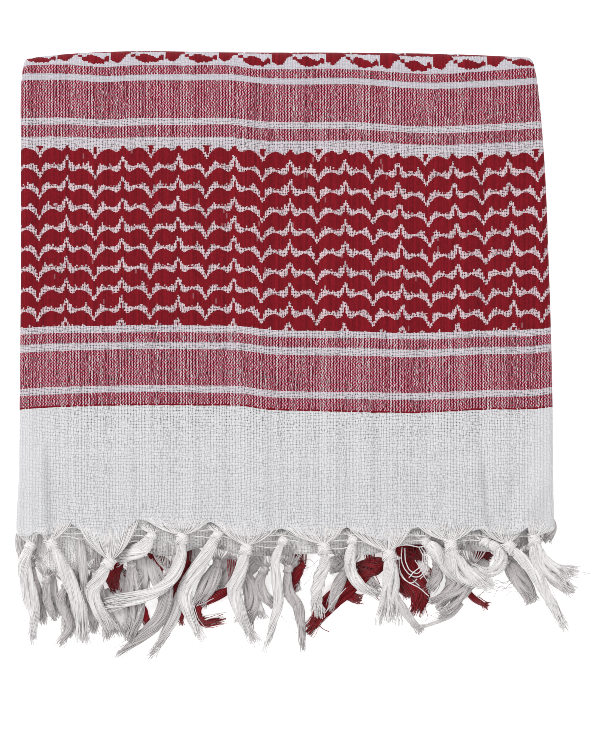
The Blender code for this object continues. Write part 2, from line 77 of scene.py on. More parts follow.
# %% [markdown]
# ## The table
# The table is one large face, a hair below the cloth. It glows faintly, as a light table does, so that the
# gaps in the fringe stay pale. It belongs to the stage and not to the object.
# %% The table
TABLE_SIZE, TABLE_DROP, TABLE_GLOW = 6.0, 0.0001, 0.50
TABLE_COLOUR, TABLE_ROUGHNESS = (0.93, 0.93, 0.93, 1.0), 0.8
WHITE_LIGHT = (1.0, 1.0, 1.0, 1.0)

table_mesh = bmesh.new()
bmesh.ops.create_grid(table_mesh, x_segments=1, y_segments=1, size=TABLE_SIZE / 2)
bmesh.ops.translate(table_mesh, verts=table_mesh.verts, vec=(0.0, 0.0, -TABLE_DROP))
table_data = bpy.data.meshes.new("table")
table_mesh.to_mesh(table_data)
table_mesh.free()
table = bpy.data.objects.new("table", table_data)
bpy.context.scene.collection.objects.link(table)
table_paint = bpy.data.materials.new("table_white")
table_paint.use_nodes = True
table_shader = table_paint.node_tree.nodes["Principled BSDF"]
table_shader.inputs["Base Color"].default_value = TABLE_COLOUR
table_shader.inputs["Roughness"].default_value = TABLE_ROUGHNESS
table_shader.inputs["Emission Color"].default_value = WHITE_LIGHT
table_shader.inputs["Emission Strength"].default_value = TABLE_GLOW
table_data.materials.append(table_paint)
print("table:", TABLE_SIZE, "m wide")

# %% [markdown]
# ## The light
# Two large soft lamps and a bright sky give the even light of a studio, a little stronger from the upper
# left. A lamp's size decides how soft its shadows are, and both are several times as large as the cloth.
# %% The light
SKY_STRENGTH = 0.60


def soft_lamp(name, place, size, power):
    """A square lamp that faces the middle of the cloth."""
    lamp = bpy.data.lights.new(name, "AREA")
    lamp.size = size
    lamp.energy = power
    made = bpy.data.objects.new(name, lamp)
    made.location = place
    made.rotation_euler = (-Vector(place)).to_track_quat("-Z", "Y").to_euler()
    bpy.context.scene.collection.objects.link(made)


soft_lamp("key_lamp", (-1.1, 0.9, 1.6), 1.2, 30.0)
soft_lamp("fill_lamp", (1.3, -0.5, 1.5), 1.6, 12.0)
world = bpy.data.worlds.new("studio")
world.use_nodes = True
world.node_tree.nodes["Background"].inputs["Color"].default_value = WHITE_LIGHT
world.node_tree.nodes["Background"].inputs["Strength"].default_value = SKY_STRENGTH
bpy.context.scene.world = world
print("lamps:", len(bpy.data.lights))

# %% [markdown]
# ## Smooth tables
# An outline on cloth has no formula, but it has no corners either. So each is a short table of places and
# values, and is read along a smooth curve through its rows.
# %% Smooth tables
MM = 0.001
TURN = 2 * math.pi


@functools.lru_cache(maxsize=None)
def columns_of(table, column):
    """A table's places, one column's values, and that column's slopes."""
    places, values = [row[0] for row in table], [row[column] for row in table]
    return places, values, [float(slope) for slope in np.gradient(values, places)]


def along(table, at, column=1):
    """A table's column at a place, on a smooth curve through its rows."""
    places, values, slopes = columns_of(table, column)
    at = min(max(at, places[0]), places[-1])
    low = min(bisect.bisect_right(places, at) - 1, len(places) - 2)
    width = places[low + 1] - places[low]
    part = (at - places[low]) / width
    rise = part * part * (3 - 2 * part)
    start = part * (1 - part) ** 2 * width * slopes[low]
    end = part * part * (part - 1) * width * slopes[low + 1]
    return values[low] * (1 - rise) + values[low + 1] * rise + start + end


def ease(start, end, at):
    """0 at start, 1 at end, smooth between and flat beyond."""
    part = min(max((at - start) / (end - start), 0.0), 1.0)
    return part * part * (3 - 2 * part)


print("a quarter of the way up an ease:", ease(0.0, 1.0, 0.25))

# %% [markdown]
# ## Pieces and sheets
# A grid of vertices laid by a rule makes a sheet of cloth, with the cloth's own coordinates in millimetres as
# its map, and Solidify gives it its thickness. A finished piece rides the one body and takes the place of its
# imported nodes.
# %% Pieces and sheets
def add_piece(name, mesh, material, nodes):
    """A finished mesh as a piece on the one body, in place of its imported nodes."""
    mesh.materials.clear()
    mesh.materials.append(material)
    mesh.shade_smooth()
    piece = bpy.data.objects.new(name, mesh)
    bpy.context.scene.collection.objects.link(piece)
    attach(piece, "root")
    if nodes:
        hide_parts(*nodes)
    return piece


def laid_sheet(name, columns, rows, lay):
    """A grid whose vertices lay(column, row) gives: (place, across in mm, along in mm)."""
    bm = bmesh.new()
    bmesh.ops.create_grid(bm, x_segments=columns, y_segments=rows, size=0.5)
    cloth = bm.loops.layers.uv.new("cloth")
    coordinates = {}
    for vertex in bm.verts:
        column = round((vertex.co.x + 0.5) * columns)
        row = round((vertex.co.y + 0.5) * rows)
        place, across_mm, along_mm = lay(column, row)
        vertex.co = place
        coordinates[vertex] = (across_mm, along_mm)
    for face in bm.faces:
        for loop in face.loops:
            loop[cloth].uv = coordinates[loop.vert]
    mesh = bpy.data.meshes.new(name)
    bm.to_mesh(mesh)
    bm.free()
    return mesh


def triangles(piece):
    return sum(len(face.vertices) - 2 for face in piece.data.polygons)


def thicken(piece, thickness):
    wall = piece.modifiers.new("thickness", "SOLIDIFY")
    wall.thickness = thickness
    wall.offset = -1.0
    wall.use_even_offset = True


print("sheets ready")

# %% [markdown]
# ## Yarns
# A yarn is a poly curve with a round bevel, and hundreds of them are turned into one mesh. The finest ones
# have three sides, because each is thinner than a pixel. A body, the fuller core of a lock, has seven.
# %% Yarns
YARN_SIDES, BODY_SIDES = 3, 7
YARN_TONES, BODY_TONE = (0.25, 0.85), 0.65


def swept(lines, sides):
    """A mesh of tubes with this many sides along lines of (place, radius)."""
    curve = bpy.data.curves.new("swept", "CURVE")
    outline = bpy.data.curves.new("outline", "CURVE")
    curve.dimensions = outline.dimensions = "3D"
    ring = outline.splines.new("POLY")
    ring.points.add(sides - 1)
    ring.use_cyclic_u = True
    for index, point in enumerate(ring.points):
        point.co = (math.cos(TURN * index / sides), math.sin(TURN * index / sides), 0.0, 1.0)
    for line in lines:
        spline = curve.splines.new("POLY")
        spline.points.add(len(line) - 1)
        for point, (place, radius) in zip(spline.points, line):
            point.co = (*place, 1.0)
            point.radius = radius
    holders = [bpy.data.objects.new("swept", curve), bpy.data.objects.new("outline", outline)]
    for holder in holders:
        bpy.context.scene.collection.objects.link(holder)
    curve.bevel_mode, curve.bevel_object = "OBJECT", holders[1]
    graph = bpy.context.evaluated_depsgraph_get()
    mesh = bpy.data.meshes.new_from_object(holders[0].evaluated_get(graph))
    for holder, data in zip(holders, (curve, outline)):
        bpy.data.objects.remove(holder)
        bpy.data.curves.remove(data)
    return mesh


def yarn_mesh(name, yarns, bodies, seed, shaded=0.0):
    """One mesh of thin yarns and fuller bodies, with a shade for each, its own tone less any painted shade,
    and its run along it.
    """
    chance = np.random.default_rng(seed)
    bm = bmesh.new()
    shade, run = (bm.verts.layers.float.new(key) for key in ("shade", "run"))
    for lines, sides in ((yarns, YARN_SIDES), (bodies, BODY_SIDES)):
        if not lines:
            continue
        first = len(bm.verts)
        part = swept(lines, sides)
        bm.from_mesh(part)
        bpy.data.meshes.remove(part)
        bm.verts.ensure_lookup_table()
        for line in lines:
            # Each yarn's tone is at random and each body's is set; the painted shade of the row darkens both.
            tone = (chance.uniform(*YARN_TONES) if sides == YARN_SIDES else BODY_TONE) - shaded
            length = 0.0
            for index, (place, _) in enumerate(line):
                if index:
                    length += math.dist(place, line[index - 1][0])
                for vertex in bm.verts[first : first + sides]:
                    vertex[shade], vertex[run] = tone, length * 1000
                first += sides
    bmesh.ops.holes_fill(bm, edges=[edge for edge in bm.edges if edge.is_boundary], sides=BODY_SIDES)
    mesh = bpy.data.meshes.new(name)
    bm.to_mesh(mesh)
    bm.free()
    return mesh


print("yarns have", YARN_SIDES, "sides and bodies", BODY_SIDES)

# %% [markdown]
# ## Materials as sums
# A weave is arithmetic: a yarn's number is its place over the pitch, rounded down, and which yarn is on top
# depends on whether two numbers add to an even sum. Written as plain sums this is short, so each value in the
# node tree is wrapped in a small class whose operators add the math nodes.
# %% Node sums
MIX_SOCKETS = {
    # the inputs for the share, the first and the second, and the output
    "FLOAT": (0, 2, 3, 0),
    "RGBA": (0, 6, 7, 2),
}


def feed(slot, value):
    """Puts a value, an output, a number or a colour into a node's input."""
    if isinstance(value, Value):
        value = value.socket
    if isinstance(value, bpy.types.NodeSocket):
        slot.id_data.links.new(value, slot)
    else:
        slot.default_value = (*value, 1.0) if isinstance(value, tuple) else value


class Value:
    """A number at each point of a surface, made of math nodes."""

    def __init__(self, tree, socket):
        self.tree, self.socket = tree, socket

    def math(self, operation, *others):
        node = self.tree.nodes.new("ShaderNodeMath")
        node.operation = operation
        for slot, value in zip(node.inputs, (self, *others)):
            feed(slot, value)
        return Value(self.tree, node.outputs[0])

    def __add__(self, other):
        return self.math("ADD", other)

    def __sub__(self, other):
        return self.math("SUBTRACT", other)

    def __mul__(self, other):
        return self.math("MULTIPLY", other)

    def __truediv__(self, other):
        return self.math("DIVIDE", other)

    def __gt__(self, other):
        return self.math("GREATER_THAN", other)

    def __lt__(self, other):
        return self.math("LESS_THAN", other)

    def flipped(self):
        """1 less this."""
        return (self * -1.0) + 1.0

    def clamped(self):
        """This, but never under 0 or over 1."""
        return self.math("MAXIMUM", 0.0).math("MINIMUM", 1.0)

    def within(self, low, high):
        """1 between two limits and 0 outside them."""
        return (self > low) * (self < high)

    def ramp(self, low, high):
        """0 at low, 1 at high, smooth between."""
        node = self.tree.nodes.new("ShaderNodeMapRange")
        node.interpolation_type = "SMOOTHSTEP"
        for key, value in (("Value", self), ("From Min", low), ("From Max", high)):
            feed(node.inputs[key], value)
        return Value(self.tree, node.outputs[0])

    def curve(self, rows, low, high):
        """A chart's value: rows of (place from 0 to 1, value), read on straight lines."""
        node = self.tree.nodes.new("ShaderNodeFloatCurve")
        line = node.mapping.curves[0]
        node.mapping.use_clip = True
        while len(line.points) < len(rows):
            line.points.new(0.5, 0.5)
        for point, (place, value) in zip(line.points, rows):
            point.location = (place, (value - low) / (high - low))
            point.handle_type = "VECTOR"
        node.mapping.update()
        feed(node.inputs["Value"], self)
        return Value(self.tree, node.outputs[0]) * (high - low) + low

    def blend(self, kind, first, second):
        """The output of a Mix node: first where this is 0, second where it is 1."""
        node = self.tree.nodes.new("ShaderNodeMix")
        node.data_type = kind
        *inputs, output = MIX_SOCKETS[kind]
        for slot, value in zip(inputs, (self, first, second)):
            feed(node.inputs[slot], value)
        return node.outputs[output]

    def mixed(self, first, second):
        """A number between two."""
        return Value(self.tree, self.blend("FLOAT", first, second))

    def colours(self, first, second):
        """A colour between two."""
        return self.blend("RGBA", first, second)


print("node sums ready")

# %% [markdown]
# ## Chance, relief and new materials
# Cotton is uneven. Soft noise makes it thicker and thinner along its length, and white noise on a yarn's
# number makes one yarn differ from the next. Bump gives the relief that is too fine for the mesh.
# %% Chance, relief and new materials
CLOTH_SPECULAR, SHEEN_ROUGHNESS = 0.12, 0.5


def joined(x, y):
    """Two values as one vector."""
    node = x.tree.nodes.new("ShaderNodeCombineXYZ")
    feed(node.inputs[0], x)
    feed(node.inputs[1], y)
    return node.outputs[0]


def cloudy(x, y, detail=1.0):
    """Soft noise from 0 to 1 over two values."""
    node = x.tree.nodes.new("ShaderNodeTexNoise")
    node.noise_dimensions = "2D"
    for key, value in (("Scale", 1.0), ("Detail", detail), ("Vector", joined(x, y))):
        feed(node.inputs[key], value)
    return Value(x.tree, node.outputs["Fac"])


def chance_of(x, y):
    """A random number from 0 to 1 for each pair of whole numbers."""
    node = x.tree.nodes.new("ShaderNodeTexWhiteNoise")
    node.noise_dimensions = "2D"
    feed(node.inputs["Vector"], joined(x, y))
    return Value(x.tree, node.outputs["Value"])


def uneven(x, y, amount):
    """Soft noise about 0, over two values."""
    return (cloudy(x, y) - 0.5) * amount


def weighed(values, weights, rest):
    """The sum of each value times its weight, and the rest."""
    parts = [value * weight for value, weight in zip(values, weights)]
    return sum(parts[1:], parts[0]) + rest


def dimmed(colour, value):
    """A colour whose brightness is multiplied by a value."""
    node = value.tree.nodes.new("ShaderNodeHueSaturation")
    feed(node.inputs["Color"], colour)
    feed(node.inputs["Value"], value)
    return node.outputs[0]


def new_material(name, roughness, sheen):
    """(the material, its shader)."""
    made = bpy.data.materials.new(name)
    made.use_nodes = True
    shader = made.node_tree.nodes["Principled BSDF"]
    shader.inputs["Roughness"].default_value = roughness
    shader.inputs["Specular IOR Level"].default_value = CLOTH_SPECULAR
    shader.inputs["Sheen Weight"].default_value = sheen
    shader.inputs["Sheen Roughness"].default_value = SHEEN_ROUGHNESS
    return made, shader


def emboss(shader, relief, strength, distance):
    """Relief on a shader, as bump."""
    bump = shader.id_data.nodes.new("ShaderNodeBump")
    for key, value in (("Strength", strength), ("Distance", distance), ("Height", relief)):
        feed(bump.inputs[key], value)
    feed(shader.inputs["Normal"], bump.outputs[0])


print("noise and materials ready")

# %% [markdown]
# ## The weave's measures
# The cloth is a plain weave of off-white warps that run up the cloth, with off-white or red wefts across it.
# The warps come through the loom's reed in pairs, so in places two lie close together and leave a gap beside
# them: there the red bands show fine upright lines, and elsewhere small broken dots of both colours. The
# bands lie across the cloth at set distances from its hem.
# %% The weave's measures, in millimetres
WARP_PITCH, WEFT_PITCH, RED_WEFT_LOOSER = 0.77, 0.71, 0.11
WARP_PAIRING, WEFT_PAIRING = 0.20, 0.17
YARN_STRAY = 0.9
HEM_LINE_Y = -0.1185
FIELD_BOTTOM, FIELD_TOP = 101.5, 191.3
RED_BANDS = (
    # along the cloth, from and to
    (61.5, 68.0),
    (71.5, 89.6),
    (93.2, 98.2),
    (195.6, 201.6),
    (205.1, 224.0),
    (227.0, 231.4),
)
SOLID_LINE = (61.5, 62.4)
print("bands of red weft:", len(RED_BANDS))

# %% [markdown]
# ## The scalloped figure
# The scallops are red yarn that floats over the ground. Their outline is a chart of one half repeat, which is
# mirrored: one table for the tops of a row and one for its feet. The field leans a little, because the cloth
# is pulled aside on its right half, and single floats end higher or lower than their neighbours.
# %% The scalloped figure
REPEAT_ACROSS, REPEAT_ALONG = 27.875, 10.10
NOTCH_ACROSS, NOTCH_ALONG = -67.55, 184.65
FIELD_SLANT = -0.008
# How far the figure leans to the left on the right side of the cloth, over a length of the field.
LEAN_FROM, LEAN_LENGTH, LEAN_LEFT, LEAN_WIDTH = 100.0, 100.0, 20.0, 50.0
FIELD_LEAN = (
    # share of the length, lean in mm
    (0.00, -0.9),
    (0.25, -0.8),
    (0.40, -0.5),
    (0.50, 0.2),
    (0.60, 0.9),
    (0.75, 1.8),
    (0.88, 2.5),
    (1.00, 2.9),
)
SCALLOP_TOPS = (
    # share of a half repeat from the notch, mm above the notch
    (0.00, 0.0),
    (0.04, 0.57),
    (0.10, 2.30),
    (0.20, 3.83),
    (0.30, 4.78),
    (0.40, 5.36),
    (0.48, 5.55),
    (0.56, 5.36),
    (0.66, 4.59),
    (0.74, 3.90),
    (0.82, 3.90),
    (0.90, 4.97),
    (0.95, 6.31),
    (0.965, 9.20),
    (1.00, 9.20),
)
SCALLOP_FEET = (
    # share of a half repeat from the notch, mm above the notch
    (0.00, -7.10),
    (0.055, -6.90),
    (0.075, -4.70),
    (0.10, -3.83),
    (0.16, -3.06),
    (0.22, -2.10),
    (0.28, -1.20),
    (0.34, -1.90),
    (0.40, -2.45),
    (0.48, -2.80),
    (0.56, -2.95),
    (0.64, -2.95),
    (0.74, -2.75),
    (0.82, -1.91),
    (0.90, -0.38),
    (0.96, 1.34),
    (1.00, 2.30),
)
CHART_LOW, CHART_HIGH = -8.0, 10.0
TOP_UNEVEN, TOP_RAISE = 0.35, 0.10
FOOT_UNEVEN, FOOT_DROP = 1.9, 0.70


def scallop_figure(u, v, warp_number):
    """1 where the red figure floats."""
    wobble = chance_of(warp_number, (v / REPEAT_ALONG).math("FLOOR"))
    lean = ((v - LEAN_FROM) / LEAN_LENGTH).curve(FIELD_LEAN, -2.0, 4.0)
    lean = lean * ((u - LEAN_LEFT) / LEAN_WIDTH).clamped()
    slanted = u + lean + (v - NOTCH_ALONG) * FIELD_SLANT
    share = ((slanted - NOTCH_ACROSS) / REPEAT_ACROSS).math("FRACT")
    half = ((share - 0.5).math("ABSOLUTE") * -2.0) + 1.0
    above = ((v - NOTCH_ALONG) / REPEAT_ALONG).math("FLOORED_MODULO", 1.0) * REPEAT_ALONG
    top = half.curve(SCALLOP_TOPS, CHART_LOW, CHART_HIGH) + (wobble - 0.5) * TOP_UNEVEN + TOP_RAISE
    foot = half.curve(SCALLOP_FEET, CHART_LOW, CHART_HIGH)
    foot = foot + wobble.math("POWER", 3.0) * FOOT_UNEVEN - FOOT_DROP
    lower = above - REPEAT_ALONG
    this_row = (above > foot) * (above < top)
    row_above = (lower > foot) * (lower < top)
    red = this_row.math("MAXIMUM", row_above)
    return red * v.within(FIELD_BOTTOM, FIELD_TOP)


print("scallops:", round((FIELD_TOP - FIELD_BOTTOM) / REPEAT_ALONG), "rows")

# %% [markdown]
# ## The main field's lozenges
# The square's main field starts just under the top fold. White crescents part its red into lozenges with a
# hook at each end, and each row stands half a repeat aside of the row below it.
# %% The main field's lozenges
MAIN_FIELD = 232.6
FIELD_REPEAT, FIELD_START, FIELD_ROW = 26.93, 26.64, 7.0
FIELD_EDGE = (
    # share of a repeat, mm along the cloth above the main field's start
    (0.00, 3.7),
    (0.027, 4.6),
    (0.063, 5.5),
    (0.092, 6.4),
    (0.104, 4.2),
    (0.135, 3.5),
    (0.188, 3.5),
    (0.205, 1.7),
    (0.26, 1.3),
    (0.287, 0.9),
    (0.314, 0.4),
    (0.35, 0.1),
    (0.60, 0.2),
    (0.637, 1.4),
    (0.70, 1.4),
    (0.71, 2.1),
    (0.745, 2.0),
    (0.80, 1.6),
    (0.834, 1.0),
    (0.879, 0.7),
    (0.924, 0.9),
    (0.951, 1.8),
    (0.978, 2.9),
    (1.00, 3.7),
)
CRESCENT = (
    # share of a repeat, mm along the cloth above a row's start
    (0.00, 7.9),
    (0.092, 7.9),
    (0.102, 3.9),
    (0.125, 3.5),
    (0.15, 3.8),
    (0.185, 3.9),
    (0.198, 3.0),
    (0.208, 1.9),
    (0.262, 2.2),
    (0.28, 3.0),
    (0.30, 3.5),
    (0.34, 3.9),
    (0.40, 3.8),
    (0.43, 3.1),
    (0.475, 2.4),
    (0.51, 2.0),
    (0.547, 1.4),
    (0.583, 0.6),
    (0.61, 0.9),
    (0.628, 2.0),
    (0.646, 2.5),
    (0.673, 2.9),
    (0.695, 2.8),
    (0.705, 0.0),
    (0.735, 0.0),
    (0.742, 7.9),
    (1.00, 7.9),
)
CRESCENT_TOP = 6.3
CRESCENT_START, EDGE_UNEVEN, TALLEST = 2.0, 0.8, 8.0


def main_field_figure(u, v, warp_number):
    """1 on the red of the cloth's main field."""
    uneven = chance_of(warp_number, v * 0.0 + 5.0) - 0.5
    above = v - MAIN_FIELD + uneven * EDGE_UNEVEN
    share = (u - FIELD_START) / FIELD_REPEAT
    red = above > share.math("FRACT").curve(FIELD_EDGE, 0.0, TALLEST)
    row = ((above - CRESCENT_START) / FIELD_ROW).math("FLOOR").math("MAXIMUM", 0.0)
    up = above - CRESCENT_START - row * FIELD_ROW
    foot = (share + row * 0.5).math("FRACT").curve(CRESCENT, 0.0, TALLEST)
    crescent = (up > foot) * (up < CRESCENT_TOP)
    return red * crescent.flipped()


print("lozenges:", FIELD_REPEAT, "mm apart")

# %% [markdown]
# ## The lie of the yarns
# A material can draw each yarn of the weave, because their lanes come from the cloth's own coordinates. The
# lanes wander a little and draw together in pairs. In its lane a yarn strays from side to side, and thick and
# thin places along it, called slubs, open and close the gaps between the yarns. A number that is added inside
# a noise only keeps that noise apart from the others.
# %% The lie of the yarns
# The parts of a yarn's width, as shares of its lane: its own chance, its slubs and its crossings.
WARP_WIDTH, WEFT_WIDTH, LEAST_WIDTH = (0.16, 0.50, 0.14), (0.14, 0.50, 0.14), 0.29
# How the stripes, the red wefts and the scalloped field change those widths.
WARP_CHANGE, WEFT_CHANGE = (-0.12, -0.20, -0.06), (-0.14, 0.18, -0.06)
# A red weft lies lower beside a bright warp and higher beside a sunk one, and each crossing differs.
BRIGHT_WARP, SUNK_WARP = 0.945, 0.55
RED_LIFT, LEAST_LIFT = (-1.7, 0.8, 0.5), 0.05
YARN_RISE, NO_YARN = 1.1, -4.0


def laid_yarns(u, v, patterned):
    """Each yarn's number, how far off its middle a point lies, and 1 where the weft is red."""
    u_line = u + uneven(u * 0.09, v * 0.014, 1.1) + uneven(u * 0.45, v * 0.03, 0.5)
    v_line = v + uneven(u * 0.02, v * 0.12 + 40.0, 0.7) + uneven(u * 0.25, v * 0.3, 0.6)
    red_weft = v * 0.0
    for low, high in RED_BANDS if patterned else ():
        red_weft = red_weft + v_line.within(low, high)
    warp, weft = u_line / WARP_PITCH, v_line / (red_weft * RED_WEFT_LOOSER + WEFT_PITCH)
    warp_pairing = cloudy(u * 0.13 + 7.0, v * 0.010).ramp(0.30, 0.56) * WARP_PAIRING
    weft_pairing = cloudy(u * 0.010, v * 0.10 + 5.0).ramp(0.28, 0.60) * WEFT_PAIRING
    warp = warp + warp_pairing * (warp * math.pi).math("SINE")
    weft = weft + weft_pairing * (weft * math.pi).math("SINE")
    warp_number, weft_number = warp.math("FLOOR"), weft.math("FLOOR")
    warp_stray = uneven(warp_number * 0.91 + 5.0, v * 0.5, YARN_STRAY)
    weft_stray = uneven(u * 0.5, weft_number * 0.91 + 23.0, YARN_STRAY)
    return types.SimpleNamespace(
        v_line=v_line,
        red_weft=red_weft,
        warp_number=warp_number,
        weft_number=weft_number,
        warp_off=(warp.math("FRACT") - 0.5 - warp_stray).math("ABSOLUTE") * 2.0,
        weft_off=(weft.math("FRACT") - 0.5 - weft_stray).math("ABSOLUTE") * 2.0,
        warp_chance=chance_of(warp_number, warp_number * 0.0 + 3.0),
        weft_chance=chance_of(weft_number, weft_number * 0.0 + 9.0),
        crossing=chance_of(warp_number, weft_number),
    )


def round_height(off, width):
    """(1 where there is yarn, the height of its round back)."""
    back = (off / width).math("POWER", 2.0).flipped()
    return back > 0.0, back.math("MAXIMUM", 0.0).math("SQRT")


def crossed(yarns, u, v, stripes, field):
    """Which yarn is uppermost, and how high: it changes from each crossing to the next."""
    red_weft, crossing = yarns.red_weft, yarns.crossing
    warp_slub = cloudy(yarns.warp_number * 0.73, v * 0.45)
    weft_slub = cloudy(u * 0.45, yarns.weft_number * 0.73 + 11.0)
    warp_width = weighed((yarns.warp_chance, warp_slub, crossing), WARP_WIDTH, LEAST_WIDTH)
    weft_width = weighed((yarns.weft_chance, weft_slub, crossing), WEFT_WIDTH, LEAST_WIDTH)
    warp_width = warp_width * weighed((stripes, red_weft, field), WARP_CHANGE, 1.0)
    weft_width = weft_width * weighed((stripes, red_weft, field), WEFT_CHANGE, 1.0)
    odd = ((yarns.warp_number + yarns.weft_number) * 0.5).math("FRACT") * 4.0 - 1.0
    over = odd * (yarns.weft_off * (math.pi / 2)).math("COSINE") * YARN_RISE
    under = odd * (yarns.warp_off * (math.pi / 2)).math("COSINE") * YARN_RISE
    raised = cloudy(yarns.warp_number * 0.83 + 31.0, v * 0.12) + yarns.warp_chance * 0.55
    bright = raised > BRIGHT_WARP
    lift = weighed((bright, raised < SUNK_WARP, crossing), RED_LIFT, LEAST_LIFT)
    is_warp, warp_back = round_height(yarns.warp_off, warp_width)
    is_weft, weft_back = round_height(yarns.weft_off, weft_width)
    warp_height = is_warp.mixed(NO_YARN, warp_back + over)
    weft_height = is_weft.mixed(NO_YARN, weft_back - under + red_weft * lift)
    return warp_height > weft_height, warp_height.math("MAXIMUM", weft_height), bright


print("yarns per 100 mm:", round(100 / WARP_PITCH), "by", round(100 / WEFT_PITCH))

# %% [markdown]
# ## The woven cloth
# The cloth has the colour of the uppermost yarn, painted darker where that dips under its neighbour, as
# painted shade. Between yarns is a gap, painted in the colour of the layer below in shadow. In the bands the
# white warps take on a little of the red around them, a painted red reflection, and where the cloth turns
# over, at its sides and on top, its gaps close; the pale band this paints along the sides is also a painted
# highlight.
# %% The woven cloth
WHITE_YARN, STRIPE_WHITE = (0.69, 0.69, 0.705), (0.63, 0.58, 0.618)
FIELD_WHITE = (0.665, 0.52, 0.555)
RED_YARN, RED_FLOAT = (0.32, 0.012, 0.038), (0.175, 0.005, 0.011)
BAND_WHITE = (0.71, 0.52, 0.585)
# At the sides the gaps are painted over in the pale yarn colour: partly the weave closing where the cloth
# turns over, partly a painted highlight along the sides.
RIM_FROM, RIM_WIDTH, RIM_CLOSED = 116.0, 14.0, 0.75
CROWN_FROM, CROWN_CLOSED, CROWN_WHITE = 224.0, 0.6, (0.575, 0.545, 0.59)
# Each gap is painted in the colour of the layer below in shadow: painted shade, grey under the hem, near
# black in the stripes and maroon under the red.
HEM_GAP, STRIPE_GAP, RED_GAP = (0.31, 0.31, 0.32), (0.08, 0.07, 0.08), (0.030, 0.003, 0.007)
# Near the bands the border is woven more openly, so its gaps are darker.
OPEN_FROM, OPEN_LENGTH, OPEN_GAP = 39.0, 18.0, (0.13, 0.13, 0.14)
SOLID_SHARE, FIELD_EASE = 0.7, 1.5
GAP_BELOW = -3.0
# How much darker a yarn is painted where it dips, as painted shade, and how much of the bands' red is painted
# on the warps in them as a painted red reflection.
WARP_SHADE, WEFT_SHADE, RED_WEFT_SHADE, RED_HOLLOW = 0.25, 0.30, 0.22, 1.2
WARP_TINT, BRIGHT_TINT_LESS = 0.12, 0.04
STREAK, STREAK_DARKEST = 0.12, 0.94
FLOAT_SHADES, FLOAT_DARKEST, FLOAT_CROSSING = (0.14, 0.36, 0.36), 0.53, 0.26
# How often the white below peeps through the floats: a chance for each 2.5 mm of each yarn.
PEEPS_PER_MM, PEEP_OVER, PEEP_SHARE = 0.4, 0.996, 0.16
CLOTH_ROUGHNESS, CLOTH_SHEEN = 0.88, 0.03
CLOTH_RELIEF, RELIEF_DEPTH, RELIEF_LOWEST = 0.30, 0.00020, -0.8
FLOAT_ROUND, FLOAT_HEIGHT = 0.4, 1.2


def cloth_zones(yarns, v, patterned):
    """1 or 0: the floating figure, the scalloped field, and all that lies above the plain hem."""
    if not patterned:
        return v * 0.0, v * 0.0, v * 0.0
    numbers, v_line = yarns.warp_number, yarns.v_line
    figure = scallop_figure(numbers * WARP_PITCH + WARP_PITCH / 2, v_line, numbers)
    figure = figure.math("MAXIMUM", main_field_figure(numbers * WARP_PITCH, v_line, numbers))
    figure = figure.math("MAXIMUM", v_line.within(*SOLID_LINE) * (yarns.warp_chance < SOLID_SHARE))
    return figure, v.within(FIELD_BOTTOM, FIELD_TOP - FIELD_EASE), v > SOLID_LINE[0]


def ground_colour(yarns, u, v, stripes, field, white):
    """(the ground's colour, how high its uppermost yarn lies)."""
    red_weft = yarns.red_weft
    warp_on_top, height, bright = crossed(yarns, u, v, stripes, field)
    gap = height < GAP_BELOW
    warp_sunk, weft_sunk = yarns.weft_off.ramp(0.5, 1.0), yarns.warp_off.ramp(0.4, 1.0)
    weft_light = weft_sunk * (red_weft * -RED_WEFT_SHADE - WEFT_SHADE) + 1.0
    light = warp_on_top.mixed(weft_light, warp_sunk * -WARP_SHADE + 1.0)
    pale = field.colours((stripes * red_weft.flipped()).colours(white, STRIPE_WHITE), FIELD_WHITE)
    crown = v > CROWN_FROM
    pale = (crown * red_weft.flipped()).colours(pale, CROWN_WHITE)
    pale = (red_weft * bright.flipped()).colours(pale, BAND_WHITE)
    yarn = (red_weft * warp_on_top.flipped()).colours(pale, RED_YARN)
    # A painted red reflection: the warps in the red bands take a little of the wefts' red, bright warps less.
    tint = red_weft * warp_on_top * (bright * -BRIGHT_TINT_LESS + WARP_TINT)
    tinted = tint.colours(yarn, RED_YARN)
    open_weave = ((v - OPEN_FROM) / OPEN_LENGTH).clamped()
    # The gaps' colour is painted shade: the layer below in shadow.
    hollow = stripes.colours(open_weave.colours(HEM_GAP, OPEN_GAP), STRIPE_GAP)
    hollow = field.math("MAXIMUM", red_weft).colours(hollow, RED_GAP)
    rim = ((u.math("ABSOLUTE") - RIM_FROM) / RIM_WIDTH).clamped()
    closed = rim * stripes.flipped() * RIM_CLOSED + crown * red_weft.flipped() * CROWN_CLOSED
    hollow = closed.colours(hollow, pale)
    # Painted shade: in the red bands a dipping yarn is painted towards the dark maroon of the gaps.
    dim = light.flipped() * red_weft * RED_HOLLOW
    ground = gap.colours(dim.colours(tinted, hollow), hollow)
    streak = yarns.warp_chance * 0.6 + cloudy(u * 0.8, v * 0.02) * 0.4
    brightness = red_weft.mixed(light, 1.0) * (streak * STREAK + STREAK_DARKEST)
    return dimmed(ground, gap.mixed(brightness, 1.0)), height


def floating_colour(yarns, u, v):
    """The red of the floating yarn, with a rare speck of the white below it."""
    # The floats' shade: lighter along each yarn's middle, a painted highlight on its round back, and uneven
    # at random from yarn to yarn and along it.
    shades = yarns.warp_off.flipped(), yarns.warp_chance, cloudy(u * 0.5, v * 0.08)
    shade = weighed(shades, FLOAT_SHADES, FLOAT_DARKEST) + (yarns.crossing - 0.5) * FLOAT_CROSSING
    peeping = chance_of(yarns.warp_number, (v * PEEPS_PER_MM).math("FLOOR")) > PEEP_OVER
    return (peeping * PEEP_SHARE).colours(dimmed(RED_FLOAT, shade), FIELD_WHITE)


